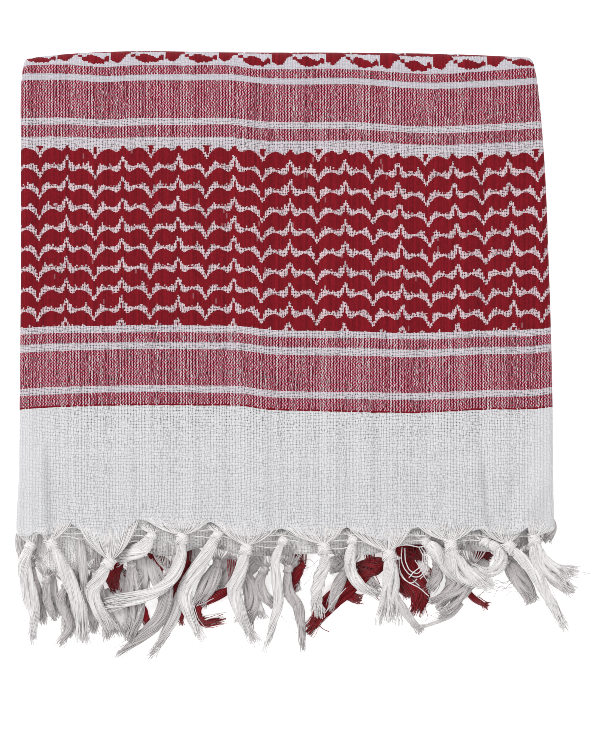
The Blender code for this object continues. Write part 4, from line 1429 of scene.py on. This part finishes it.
# %% [markdown]
# ## A tassel's middle line
# A route becomes a middle line with a heading at each step, which runs on a little past the tip. How high it
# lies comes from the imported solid, which already rests on what is under it.
# %% A tassel's middle line
ROUTE_STEPS, STEPS_PAST = 20, 4
HEIGHT_SHARES, HEIGHT_REACH = (0.0, 0.25, 0.5, 0.75, 1.0), 0.0030


def direction(angle):
    return np.array((math.cos(angle), math.sin(angle)))


def left_of(angle):
    return np.array((-math.sin(angle), math.cos(angle)))


def smooth_route(points):
    """A table of (distance, x, y) through points given in millimetres."""
    distance, rows = 0.0, []
    for index, (x, y) in enumerate(points):
        if index:
            distance += math.dist(points[index - 1], (x, y)) * MM
        rows.append((distance, x * MM, y * MM))
    return tuple(rows)


def middle_line(points, start):
    """Plan points and headings from a start distance to a little past the tip."""
    route = smooth_route(points)
    length = route[-1][0]
    places = [
        np.array((along(route, at, 1), along(route, at, 2)))
        for at in (start + (length - start) * step / ROUTE_STEPS for step in range(ROUTE_STEPS + 1))
    ]
    places += [places[-1] + (places[-1] - places[-2]) * more for more in range(1, STEPS_PAST + 1)]
    line = []
    for index, place in enumerate(places):
        ahead = places[min(index + 1, len(places) - 1)] - places[max(index - 1, 0)]
        angle = math.atan2(ahead[1], ahead[0])
        if line:
            angle += TURN * round((line[-1][1] - angle) / TURN)
        line.append((place, angle))
    return line


def heights_along(corners, line):
    """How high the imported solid's middle lies at each quarter of the line."""
    found = []
    for share in HEIGHT_SHARES:
        place, _ = line[round(share * ROUTE_STEPS)]
        weights = np.exp(-((corners[:, :2] - place) ** 2).sum(axis=1) / HEIGHT_REACH**2) + 1e-12
        found.append((share, float((weights * corners[:, 2]).sum() / weights.sum())))
    return tuple(found)


def on_line(line, share):
    """The plan point and heading at a share of the line."""
    reach = share * ROUTE_STEPS
    low = min(int(reach), len(line) - 2)
    part = reach - low
    place = line[low][0] * (1 - part) + line[low + 1][0] * part
    return place, line[low][1] * (1 - part) + line[low + 1][1] * part


print("a middle line has", ROUTE_STEPS, "steps")

# %% [markdown]
# ## Locks of yarn
# A tassel is a few locks, set in a flattened ring about its middle line, and the ring turns slowly as it
# goes. Each lock has its own length and lean, and a body inside it, so that no light comes through its yarns.
# A yarn swirls about in its lock, and near the tip it may flick outwards.
# %% Locks of yarn
YARN_RADIUS = 0.00021
FLOOR_GAP = 0.0003
SWELL = (
    # share of the length, share of the full width, share of a lock's greatest half height
    (0.00, 0.55, 0.90),
    (0.08, 0.78, 1.05),
    (0.25, 1.00, 1.00),
    (0.70, 1.00, 0.90),
    (1.00, 1.00, 0.65),
)
LOCK_SPACING, LOCK_HALF, RING_FLATNESS = 0.00120, 0.00150, 0.34
LENGTH_UNEVEN, LOCK_LEAN, LOCK_SWAY = 0.06, 0.0005, 0.35
TIPWARD_FROM = 0.55
BODY_POINTS, BODY_SHARE, BODY_FILL = 10, 0.88, 0.86
DRIFT, FLICK, STRAY, STRAY_CHANCE = 0.00016, 0.0009, 0.0014, 0.08
FLICK_FROM, FLICK_TO = 0.78, 1.05


def locks_of(width, tip, turns, chance):
    """The locks' lengths and phases, and where a lock is at a share of its length."""
    count = max(3, round(width / LOCK_SPACING))
    lengths = 1 + LENGTH_UNEVEN * chance.uniform(-1, 1, count)
    phases = chance.uniform(0, TURN, count)
    leans = chance.normal(0, LOCK_LEAN, count)

    def lock_at(lock, share):
        """How far aside and up a lock lies, its half height, and its half width."""
        tipward = ease(TIPWARD_FROM, 1.0, share)
        full = (width * (1 - tipward) + tip * tipward) * along(SWELL, share)
        half = min(0.30 * full, LOCK_HALF * along(SWELL, share, 2))
        turn = TURN * (lock / count + turns * share) + LOCK_SWAY * math.sin(TURN * share + phases[lock])
        ring = full / 2 - half
        aside = ring * math.cos(turn) + leans[lock] * share * share
        return aside, ring * math.sin(turn) * RING_FLATNESS, half, max(half, 0.8 * full / count)

    return lengths, phases, lock_at


def lock_bodies(line, heights, lengths, lock_at):
    """The full body inside each lock."""
    bodies = []
    for lock, length in enumerate(lengths):
        points = []
        for step in range(BODY_POINTS):
            share = BODY_SHARE * length * step / (BODY_POINTS - 1)
            place, angle = on_line(line, share)
            lock_aside, lock_up, half, _ = lock_at(lock, share)
            place = place + lock_aside * left_of(angle)
            size = BODY_FILL * half * (1 - 0.7 * ease(0.75, 1.0, step / (BODY_POINTS - 1)))
            z = max(along(heights, share) + lock_up, size + FLOOR_GAP)
            points.append(((place[0], place[1], z), size))
        bodies.append(points)
    return bodies


def bundle_yarns(line, heights, width, tip, turns, fray, chance, steps=18, lock_yarns=14):
    """A bundle's yarns, and the bodies of its locks."""
    lengths, phases, lock_at = locks_of(width, tip, turns, chance)
    yarns = []
    for number in range(len(lengths) * lock_yarns):
        lock = number % len(lengths)
        out = chance.uniform(0.80, 1.05)
        turn = TURN * (number // len(lengths) + chance.uniform(-0.4, 0.4)) / lock_yarns
        own_length = lengths[lock] * (1.03 - 0.20 * chance.random() ** 3)
        drift, drift_phase = chance.normal(0, DRIFT), chance.uniform(0, TURN)
        flick = chance.normal(0, FLICK) * fray
        stray = chance.normal(0, STRAY) * (chance.random() < STRAY_CHANCE)
        thickness = YARN_RADIUS * chance.uniform(0.85, 1.2)
        points = []
        for step in range(steps):
            share = own_length * step / (steps - 1)
            place, angle = on_line(line, share)
            share = min(share, 1.0)
            lock_aside, lock_up, half, reach = lock_at(lock, share)
            swirl = turn + TURN * (0.30 + turns) * share + phases[lock]
            aside = lock_aside + out * reach * math.cos(swirl)
            aside += drift * share * math.sin(TURN * 1.7 * share + drift_phase)
            aside += flick * ease(FLICK_FROM, FLICK_TO, share) ** 2 + stray * share * share
            place = place + aside * left_of(angle)
            z = along(heights, share) + lock_up + out * half * math.sin(swirl)
            z = max(z, YARN_RADIUS + FLOOR_GAP)
            points.append(((place[0], place[1], z), thickness * (1.0 if step < steps - 2 else 0.7)))
        yarns.append(points)
    return yarns, lock_bodies(line, heights, lengths, lock_at)


print("a lock for each", LOCK_SPACING / MM, "mm of a bundle's width")

# %% [markdown]
# ## Knots and fans
# A knot is a round core with yarn wound round it in two loops that cross. Above it the warps fan out to the
# edge of the weaving, and each bends down into the back of the knot on a curve of its own.
# %% Knots and fans
Knot = collections.namedtuple("Knot", "x y z angle")
WIND_TILTS, WIND_YARNS, WIND_POINTS = (-0.55, 0.60), 7, 17
WIND_RADIUS, WIND_FOR_WIDTH, WIND_YARN = 0.00062, 0.0054, 1.5
FAN_STEPS, FAN_REACH, FAN_OVERLAP = 8, 0.97, (0.0012, 0.0078)
SIDE_FAN_LENGTH, SIDE_FAN_RISE, SIDE_FAN_TOP = 0.0150, 0.0040, 0.0080
SMALL_FAN_LENGTH = 0.0060
KNOT_BACK, KNOT_BACK_HALF, KNOT_BACK_HEIGHT = 0.3, 0.0016, 0.0014
YARN_RAISE = 0.4
CORE_SEGMENTS, CORE_RINGS, CORE_FILL = 20, 12, (0.95, 0.93, 0.95)


def knot_yarns(knot, row, chance):
    """Two fat loops of yarn that cross over the knot's core."""
    width, knot_length, thickness = ROWS[row][:3]
    ahead, aside = direction(knot.angle), left_of(knot.angle)
    thick = WIND_RADIUS * width / WIND_FOR_WIDTH
    yarns = []
    for tilt in WIND_TILTS:
        tilt += chance.normal(0, 0.12)
        shift = chance.normal(0, 0.0002) - math.copysign(0.0004, tilt)
        for strand in range(WIND_YARNS):
            points = []
            for step in range(WIND_POINTS):
                turn = TURN * step / (WIND_POINTS - 1)
                roll = TURN * strand / WIND_YARNS + turn
                side = (width / 2 - thick + thick * math.cos(roll)) * math.cos(turn)
                up = (thickness / 2 - thick + thick * math.cos(roll)) * math.sin(turn)
                forward = tilt * math.cos(turn) * knot_length / 2 + shift + thick * 1.3 * math.sin(roll)
                place = np.array((knot.x, knot.y)) + ahead * forward + aside * side
                points.append(((place[0], place[1], knot.z + up), YARN_RADIUS * WIND_YARN))
            yarns.append(points)
    return yarns


def fan_start(knot, row, share, over, from_front):
    """Where a warp of the fan leaves the weaving, at a share of the fan from -1 to 1."""
    if from_front:
        group = min(GROUPS, key=lambda one: abs(one.knot_x - knot.x))
        half = group.right_x - group.knot_x if share > 0 else group.knot_x - group.left_x
        flat_x = group.knot_x + share * half * 0.98
        edge_y = woven_edge(flat_x) + over
        z = stack_top(flat_x, edge_y) + YARN_RADIUS * YARN_RAISE
        return Vector((drawn_in(flat_x, edge_y), edge_y, z))
    start_x = knot.x + share * ROWS[row].fan_half
    if row == SIDE_ROW:
        return Vector((start_x, knot.y + SIDE_FAN_LENGTH, min(knot.z + SIDE_FAN_RISE, SIDE_FAN_TOP)))
    start_x = min(max(start_x, SECOND_EDGE[0][0]), SECOND_EDGE[-1][0])
    edge_y = along(SECOND_EDGE, start_x) + over
    if row == SMALL_ROW:
        edge_y = max(edge_y, knot.y + SMALL_FAN_LENGTH)
    return Vector((start_x, edge_y, second_hem_top(edge_y) + YARN_RADIUS * YARN_RAISE))


def fan_yarns(knot, row, from_front, chance):
    """Warps from the edge of the weaving into the back of the knot."""
    back = np.array((knot.x, knot.y)) - direction(knot.angle) * ROWS[row].knot_length * KNOT_BACK
    count = ROWS[row].fan_warps
    yarns = []
    for number in range(count):
        share = (number + 0.5 + chance.uniform(-0.3, 0.3)) / count * (2 * FAN_REACH) - FAN_REACH
        over = chance.uniform(*FAN_OVERLAP) * (1 - 0.7 * abs(share))
        start = fan_start(knot, row, share, over, from_front)
        end_z = knot.z + chance.uniform(-0.6, 0.9) * KNOT_BACK_HEIGHT
        end = Vector((back[0] + share * KNOT_BACK_HALF, back[1], end_z))
        outer = abs(share) ** 3
        bend_x = start.x * (0.78 - 0.10 * outer) + end.x * (0.22 + 0.10 * outer)
        bend_y = start.y * (0.40 - 0.06 * outer) + end.y * (0.60 + 0.06 * outer)
        bend = Vector((bend_x + chance.normal(0, 0.00030), bend_y, (start.z + end.z) / 2 + 0.0006))
        points = []
        for step in range(FAN_STEPS + 1):
            part = step / FAN_STEPS
            place = start * (1 - part) ** 2 + bend * 2 * part * (1 - part) + end * part * part
            points.append((tuple(place), YARN_RADIUS))
        yarns.append(points)
    return yarns


def add_core(mesh, knot, row):
    """The knot's round core, in the same mesh."""
    sizes = (ROWS[row].knot_length, ROWS[row].knot_width, ROWS[row].knot_height)
    bm = bmesh.new()
    bm.from_mesh(mesh)
    made = bmesh.ops.create_uvsphere(bm, u_segments=CORE_SEGMENTS, v_segments=CORE_RINGS, radius=0.5)["verts"]
    bmesh.ops.scale(bm, verts=made, vec=[size * fill for size, fill in zip(sizes, CORE_FILL)])
    bmesh.ops.rotate(bm, verts=made, cent=(0, 0, 0), matrix=Matrix.Rotation(knot.angle, 3, "Z"))
    bmesh.ops.translate(bm, verts=made, vec=(knot.x, knot.y, knot.z))
    bm.to_mesh(mesh)
    bm.free()


print("a knot has", len(WIND_TILTS) * WIND_YARNS, "yarns round it")

# %% [markdown]
# ## The tassels
# Now each tassel can be made: its bundle, its knot and its fan are one mesh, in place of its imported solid.
# The seed comes from the tassel's number, so each differs from the next, and all are the same at each run.
# %% The tassels
FIRST_SEED = 100
# This small tassel is knotted out of the front hem's own corner.
CORNER_TASSEL = "small_tassel_1"


def corners_of(mesh):
    """All of a mesh's vertices, as rows of x, y and z."""
    corners = np.empty(len(mesh.vertices) * 3, np.float32)
    mesh.vertices.foreach_get("co", corners)
    return corners.reshape(-1, 3)


def tassel(index, name, row, width, tip, turns, fray, route):
    """One tassel with its knot and its fan, as a piece."""
    chance = np.random.default_rng(FIRST_SEED + index)
    knot_length = ROWS[row].knot_length
    line = middle_line(route, knot_length * 0.30)
    corners = corners_of(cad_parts[name].data)
    x, y = route[0][0] * MM, route[0][1] * MM
    near = ((corners[:, :2] - (x, y)) ** 2).sum(axis=1) < (knot_length * 0.6) ** 2
    knot = Knot(x, y, float(corners[near, 2].mean()), line[0][1])
    heights = heights_along(corners, line)
    yarns, bodies = bundle_yarns(line, heights, width * MM, tip * MM, turns, fray, chance)
    yarns += knot_yarns(knot, row, chance)
    yarns += fan_yarns(knot, row, row == FRONT_ROW or name == CORNER_TASSEL, chance)
    mesh = yarn_mesh(name, yarns, bodies, index, ROWS[row].dull)
    add_core(mesh, knot, row)
    yarn = red_fringe if row == SIDE_ROW else white_fringe
    return add_piece(name.replace("tassel", "fringe"), mesh, yarn, (name,))


tassels = [tassel(index, *one) for index, one in enumerate(TASSELS)]
print("tassels:", len(tassels), "with", sum(triangles(one) for one in tassels), "triangles")

# %% [markdown]
# ## Fringe of the deeper layers
# Each folded layer ends in a fringe of its own. Of the deeper ones only loose bundles on the table show, in
# the gaps between the tassels, so all the white ones are one mesh and all the red ones another. Their yarns
# are painted darker, as painted shade.
# %% Fringe of the deeper layers
UNDER_WHITE = (
    # places from its root to its tip, width, width at the tip, height; all in mm
    (((-134.8, -121.5), (-133.7, -128.6), (-130.7, -137.2)), 5.5, 4.5, 6.0),
    (((-119.6, -138.7), (-118.0, -150.8), (-115.5, -164.0)), 5, 3, 1.4),
    (((-104.9, -119.5), (-103.4, -129.6), (-101.8, -143.2), (-100.8, -156.9)), 4.8, 3.6, 9.5),
    (((-50.7, -138.7), (-53.8, -153.9), (-57.3, -166.0), (-62.4, -175.7), (-67.9, -183.8)), 6, 3, 2.0),
    (((-85.1, -138.7), (-83.1, -150.8), (-81.1, -162.0), (-79.1, -174.6)), 7, 6, 1.4),
    (((53.1, -150.8), (59.1, -160.0), (68.3, -173.1)), 4.6, 3, 3.0),
    (((-70.0, -133.6), (-64.9, -144.8), (-60.8, -153.9), (-60.8, -162.5)), 8, 6, 1.2),
    (((-26.9, -133.6), (-31.5, -142.2), (-35.5, -150.8)), 8, 7, 1.2),
    (((4.0, -133.6), (3.0, -141.7), (5.5, -151.9)), 7, 5, 1.3),
    (((84.0, -135.7), (86.0, -145.8), (82.4, -156.9)), 10, 9, 1.2),
    (((108.2, -133.6), (114.3, -138.7), (118.4, -145.8)), 7, 6, 1.2),
    (((22.2, -135.7), (28.3, -138.7), (32.3, -143.8)), 7, 6, 1.3),
    (((-73.0, -141.7), (-78.0, -144.8), (-84.1, -141.7)), 6, 5, 2.6),
    (((-109.4, -133.6), (-107.4, -146.8), (-106.9, -158.9), (-108.9, -173.1)), 6.5, 5, 1.3),
    (((-12.2, -133.6), (-17.3, -138.7), (-21.9, -146.8)), 7, 5, 1.2),
    (((43.4, -133.6), (40.4, -141.7), (46.5, -150.8)), 6, 5, 1.2),
    (((-133.7, -135.7), (-130.7, -150.8), (-126.7, -163.5)), 5, 3, 1.3),
    (((-94.2, -133.6), (-96.3, -142.7), (-100.3, -153.9)), 6, 5, 1.2),
    (((-45.6, -135.7), (-48.7, -145.8), (-54.8, -155.9)), 7, 6, 1.2),
    (((62.7, -135.7), (71.8, -141.7), (75.8, -147.8)), 5, 4, 1.0),
    (((89.5, -157.9), (84.0, -163.5), (76.9, -167.0), (67.8, -170.6)), 2.2, 1.6, 1.2),
    (((-74.0, -133.6), (-72.5, -145.8), (-74.0, -156.9)), 7, 6, 1.0),
    (((-48.7, -128.6), (-45.6, -139.7)), 9, 8, 1.0),
    (((-99.3, -149.8), (-97.8, -161.0), (-97.3, -172.1)), 6, 5, 1.2),
    (((132.0, -113.4), (133.6, -119.5), (131.0, -126.0)), 6, 5, 8.0),
    (((130.0, -138.7), (136.6, -145.8), (144.7, -151.9)), 6, 5, 1.4),
    (((-111.5, -146.8), (-111.5, -161.0), (-112.5, -171.1)), 4, 3, 1.2),
    (((-91.7, -150.8), (-85.1, -162.0), (-80.1, -173.1)), 6, 5, 1.0),
    (((-17.3, -150.8), (-14.3, -158.9), (-12.2, -165.0)), 5, 6, 1.1),
    (((101.2, -135.7), (97.1, -142.7), (89.0, -150.8)), 8, 7, 1.6),
    (((28.8, -133.6), (25.2, -138.7), (21.7, -140.7)), 6, 5, 2.6),
)
UNDER_RED = (
    # places from its root to its tip, width, width at the tip, height; all in mm
    (((-94.8, -126.5), (-93.7, -134.6)), 5, 4, 1.2),
    (((-102.9, -138.7), (-101.3, -151.9)), 4, 3, 1.0),
    (((-80.1, -140.7), (-75.0, -151.9)), 9, 8, 1.0),
    (((-84.1, -153.9), (-78.6, -164.5)), 5, 4, 1.0),
    (((-73.0, -158.9), (-69.4, -169.6)), 4, 3, 1.0),
    (((95.1, -128.6), (103.2, -135.7)), 8, 7, 1.2),
    (((-1.1, -128.6), (8.0, -132.6)), 8, 7, 1.2),
    (((-68.9, -131.6), (-57.8, -141.7)), 8, 7, 1.2),
    (((-52.7, -153.9), (-53.2, -168.1)), 3, 2, 1.0),
    (((55.6, -141.7), (57.6, -148.8), (61.7, -154.4)), 5, 3, 1.6),
    (((73.8, -140.7), (69.8, -143.8)), 4, 3, 1.6),
    (((27.2, -150.8), (33.3, -154.4), (37.9, -156.4)), 5, 5, 1.6),
    (((55.6, -129.6), (70.8, -132.1)), 9, 9, 1.2),
    (((57.6, -135.7), (59.6, -145.8)), 8, 7, 1.2),
)
# How much darker the deeper fringe's yarns are painted: painted shade, for the shadow they lie in.
WHITE_PAINTED_SHADE, RED_PAINTED_SHADE = 0.80, 0.3
UNDER_DROOP, UNDER_TURNS, UNDER_FRAY = 0.6, 0.15, 1.3
UNDER_STEPS, UNDER_LOCK_YARNS = 11, 10


def under_fringe(name, bundles, dull, material, seed):
    """Many bundles as one piece."""
    chance = np.random.default_rng(seed)
    yarns, bodies = [], []
    for places, width, tip, height in bundles:
        heights = ((0.0, height * MM), (1.0, height * MM * UNDER_DROOP))
        sizes = width * MM, tip * MM, UNDER_TURNS, UNDER_FRAY
        more_yarns, more_bodies = bundle_yarns(
            middle_line(places, 0.0), heights, *sizes, chance, UNDER_STEPS, UNDER_LOCK_YARNS
        )
        yarns += more_yarns
        bodies += more_bodies
    return add_piece(name, yarn_mesh(name, yarns, bodies, seed, dull), material, ())


under_white = under_fringe("under_fringe", UNDER_WHITE, WHITE_PAINTED_SHADE, white_fringe, 301)
under_red = under_fringe("under_fringe_red", UNDER_RED, RED_PAINTED_SHADE, red_fringe, 302)
print("under fringe:", triangles(under_white), "and", triangles(under_red), "triangles")

# %% [markdown]
# ## Loose threads
# Where the hem was drawn into knots, single wefts still cross the arches, and elsewhere a few threads have
# come loose and lie in loops and curls. Each is one thin yarn on a smooth line.
# %% Loose threads
WHITE_THREADS = (
    # places that it passes, height, radius; all in mm
    (((-111.3, -118.7), (-106.3, -118.2), (-101.8, -119.2)), 14.8, 0.24),
    (((-114.3, -121.2), (-107.3, -121.7), (-99.3, -121.2)), 14.4, 0.24),
    (((-116.4, -123.8), (-110.4, -122.8), (-103.4, -124.3), (-96.8, -123.8)), 13.8, 0.24),
    (((-79.2, -120.7), (-73.2, -119.2), (-67.2, -120.2)), 14.4, 0.24),
    (((-82.8, -123.8), (-75.3, -122.3), (-68.3, -123.3)), 13.8, 0.24),
    (((-81.3, -126.3), (-74.3, -125.3), (-69.3, -126.8)), 13.2, 0.24),
    (((-44.1, -120.2), (-37.6, -119.7), (-30.1, -121.2)), 14.4, 0.24),
    (((-47.2, -122.8), (-39.2, -123.3), (-32.1, -122.8), (-27.6, -124.3)), 13.8, 0.24),
    (((-9.5, -122.7), (-2.5, -122.2), (4.0, -123.2)), 14.4, 0.24),
    (((-12.1, -125.3), (-5.0, -125.3), (2.0, -124.8), (7.0, -125.8)), 13.8, 0.24),
    (((-14.1, -127.8), (-7.1, -128.8), (-0.5, -127.8)), 13.0, 0.24),
    (((24.0, -122.2), (30.6, -121.7), (37.6, -122.7)), 14.4, 0.24),
    (((21.5, -125.3), (28.6, -124.8), (36.1, -125.3), (41.1, -126.3)), 13.8, 0.24),
    (((20.6, -128.3), (26.1, -129.3), (33.1, -127.8)), 13.0, 0.24),
    (((56.1, -122.7), (63.2, -122.2), (70.7, -122.7)), 14.4, 0.24),
    (((55.2, -125.3), (62.2, -125.3), (71.2, -124.8)), 13.8, 0.24),
    (((54.2, -127.8), (61.2, -127.3), (67.2, -128.3), (71.2, -127.3)), 13.2, 0.24),
    (((89.2, -122.7), (95.3, -122.2), (101.8, -123.7)), 14.4, 0.24),
    (((87.3, -125.3), (94.3, -124.8), (101.3, -126.3)), 13.6, 0.24),
    (((114.8, -120.2), (120.3, -119.2), (125.3, -120.2)), 14.4, 0.24),
    (((115.4, -123.3), (120.9, -122.8), (126.4, -123.8)), 13.6, 0.24),
    (((58.3, -128.5), (58.3, -136.1), (61.3, -141.6), (65.9, -143.6),
      (69.9, -140.6), (70.4, -133.0), (67.9, -128.5)), 10.5, 0.24),
    (((59.8, -129.0), (60.3, -136.0), (62.8, -140.6),
      (66.3, -141.6), (68.8, -138.0), (69.4, -130.0)), 10.9, 0.24),
    (((66.8, -128.5), (68.8, -133.0), (67.8, -138.0), (64.3, -141.0), (61.8, -144.1)), 11.2, 0.22),
    (((56.8, -133.1), (57.8, -141.7), (61.4, -146.2), (66.4, -148.7), (71.9, -153.3)), 9.5, 0.24),
    (((55.3, -131.1), (56.4, -139.2), (59.4, -144.7), (63.4, -146.7), (65.9, -144.7)), 9.0, 0.22),
    (((67.9, -131.1), (70.9, -135.1), (70.9, -141.1), (67.4, -144.7)), 9.9, 0.22),
    (((100.2, -151.4), (105.8, -147.9), (112.4, -146.4), (118.4, -142.3)), 1.6, 0.15),
    (((103.2, -147.8), (109.3, -149.9), (116.9, -148.9)), 1.9, 0.15),
    (((96.7, -154.5), (103.3, -149.9), (108.3, -151.4), (115.4, -145.9)), 1.3, 0.15),
    (((110.9, -154.5), (114.4, -151.4), (116.9, -151.9), (117.4, -143.8)), 1.5, 0.15),
    (((115.9, -144.8), (116.9, -150.9), (118.4, -154.9)), 2.1, 0.15),
    (((92.6, -150.9), (96.2, -155.0), (100.2, -151.9), (104.3, -152.4)), 1.4, 0.15),
    (((98.1, -148.8), (102.2, -150.9), (106.7, -145.8), (110.8, -147.8), (114.3, -143.8)), 2.3, 0.15),
    (((105.3, -154.4), (108.3, -148.9), (112.9, -150.9)), 1.7, 0.14),
    (((67.8, -161.6), (71.8, -163.1), (77.9, -165.1), (83.0, -162.6)), 1.4, 0.17),
    (((68.3, -160.0), (70.3, -156.5), (76.4, -153.9)), 1.8, 0.17),
    (((69.8, -162.6), (68.3, -170.7)), 1.1, 0.17),
    (((70.3, -166.6), (75.9, -162.1), (82.0, -164.1)), 1.5, 0.16),
    (((75.4, -159.5), (80.9, -154.9), (84.5, -158.0)), 2.0, 0.16),
    (((76.4, -156.0), (72.9, -158.0), (69.3, -161.6)), 1.2, 0.16),
    (((35.9, -150.4), (41.5, -153.0), (48.0, -157.0)), 1.4, 0.16),
    (((37.4, -147.8), (43.5, -151.9), (49.0, -155.4)), 1.9, 0.18),
    (((40.4, -145.8), (45.5, -150.8), (49.5, -152.9)), 2.4, 0.16),
    (((16.1, -135.6), (13.1, -138.7), (9.0, -139.7), (9.0, -136.1),
      (12.6, -135.6), (14.6, -139.2), (14.1, -144.2)), 2.6, 0.16),
    (((13.1, -141.8), (11.6, -145.9), (9.0, -148.4)), 1.5, 0.15),
    (((-129.3, -158.0), (-132.8, -161.5), (-135.3, -165.1)), 1.6, 0.16),
    (((-129.8, -160.1), (-131.8, -164.1), (-132.8, -167.1)), 1.3, 0.16),
    (((-130.8, -157.5), (-133.8, -159.5), (-135.8, -159.5)), 1.9, 0.15),
    (((144.2, -141.2), (149.8, -141.7), (154.8, -142.7)), 2.4, 0.22),
    (((143.7, -142.3), (148.8, -143.3), (152.8, -142.8)), 2.0, 0.18),
    (((145.8, -144.8), (148.8, -144.3)), 1.5, 0.2),
    (((-2.6, -164.1), (1.9, -168.7), (5.5, -172.7)), 1.4, 0.15),
    (((2.4, -164.1), (5.0, -166.6), (5.5, -170.1)), 1.7, 0.15),
    (((19.6, -162.0), (24.1, -156.0), (30.2, -149.4)), 7.0, 0.17),
    (((15.1, -170.6), (12.1, -174.7)), 2.2, 0.16),
    (((18.1, -166.1), (15.6, -172.1)), 2.0, 0.16),
    (((-96.8, -170.2), (-93.8, -173.2), (-90.3, -175.2)), 1.6, 0.16),
    (((-80.6, -167.1), (-77.6, -173.2), (-75.5, -179.2)), 2.0, 0.16),
    (((-87.5, -156.2), (-89.5, -161.2), (-91.0, -164.3)), 5.0, 0.17),
    (((-78.3, -153.5), (-74.7, -149.5), (-72.2, -145.4)), 6.6, 0.17),
    (((-68.7, -154.6), (-72.3, -158.6), (-74.8, -163.7)), 6.0, 0.17),
    (((-29.4, -150.8), (-33.0, -149.8), (-37.5, -151.8)), 3.0, 0.16),
    (((-23.4, -153.8), (-19.3, -151.8), (-15.3, -152.8)), 3.2, 0.17),
    (((-21.8, -156.4), (-17.3, -156.4), (-13.7, -158.4)), 2.8, 0.17),
    (((-45.6, -158.8), (-41.5, -157.3), (-36.5, -154.7)), 4.0, 0.16),
    (((-42.6, -163.9), (-36.5, -162.9), (-30.4, -161.9)), 3.0, 0.3),
    (((-41.6, -166.0), (-35.5, -164.5), (-31.5, -164.5)), 2.6, 0.3),
    (((64.9, -135.1), (67.9, -140.1), (69.9, -144.1)), 10.0, 0.17),
    (((128.9, -148.3), (126.4, -144.7), (122.9, -142.2)), 3.0, 0.17),
    (((130.6, -156.0), (134.7, -162.6), (138.2, -167.1)), 1.5, 0.16),
)
RED_THREADS = (
    # places that it passes, height, radius; all in mm
    (((7.5, -140.2), (6.5, -144.3), (3.5, -147.3), (2.4, -151.3)), 2.4, 0.2),
    (((5.5, -146.8), (4.5, -150.9), (5.0, -154.9)), 1.8, 0.18),
    (((-0.1, -142.8), (2.4, -146.3), (3.5, -149.9)), 2.0, 0.18),
    (((15.1, -167.1), (18.1, -170.1), (21.7, -172.2)), 1.8, 0.2),
    (((16.1, -165.5), (14.1, -170.1), (11.6, -173.1)), 2.4, 0.18),
    (((33.3, -153.9), (35.9, -157.0), (39.4, -158.0)), 2.0, 0.2),
    (((44.5, -142.2), (46.5, -145.8), (47.5, -147.8)), 2.4, 0.18),
    (((55.5, -144.6), (59.6, -149.7), (61.6, -154.2)), 4.2, 0.3),
    (((66.7, -157.8), (65.7, -161.4), (64.7, -163.9)), 3.4, 0.2),
    (((69.7, -155.8), (72.3, -157.3), (74.3, -157.3)), 3.2, 0.2),
    (((96.1, -154.9), (100.1, -157.9), (102.2, -161.0)), 2.4, 0.2),
    (((97.6, -154.4), (101.7, -156.9), (104.2, -157.4)), 2.2, 0.2),
    (((-45.6, -167.0), (-40.6, -169.1), (-34.0, -168.1)), 2.4, 0.3),
    (((27.2, -155.7), (22.2, -161.7), (15.1, -168.8)), 5.0, 0.16),
    (((41.5, -150.9), (45.5, -154.5), (48.6, -157.0)), 1.2, 0.16),
)
THREAD_STEP, THREAD_FULLNESS = 0.0012, 1.4
THREAD_WAVE, WAVE_SCALE = 0.0003, 0.004
JITTER_X, JITTER_Y = 0.00004, 0.00006


def loose_threads(name, threads, material, seed):
    """Many single threads as one piece."""
    chance = np.random.default_rng(seed)
    yarns = []
    for places, height, thin_radius in threads:
        radius = thin_radius * THREAD_FULLNESS * MM
        route = smooth_route(places)
        length = route[-1][0]
        steps = max(4, round(length / THREAD_STEP))
        phase = chance.uniform(0, TURN)
        points = []
        for step in range(steps + 1):
            at = length * step / steps
            z = max(height * MM + THREAD_WAVE * math.sin(at / WAVE_SCALE + phase), radius + FLOOR_GAP)
            x = along(route, at, 1) + chance.normal(0, JITTER_X)
            y = along(route, at, 2) + chance.normal(0, JITTER_Y)
            points.append(((x, y, z), radius))
        yarns.append(points)
    return add_piece(name, yarn_mesh(name, yarns, [], seed), material, ())


white_threads = loose_threads("loose_threads", WHITE_THREADS, white_fringe, 303)
red_threads = loose_threads("loose_threads_red", RED_THREADS, red_fringe, 304)
print("loose threads:", triangles(white_threads), "and", triangles(red_threads), "triangles")
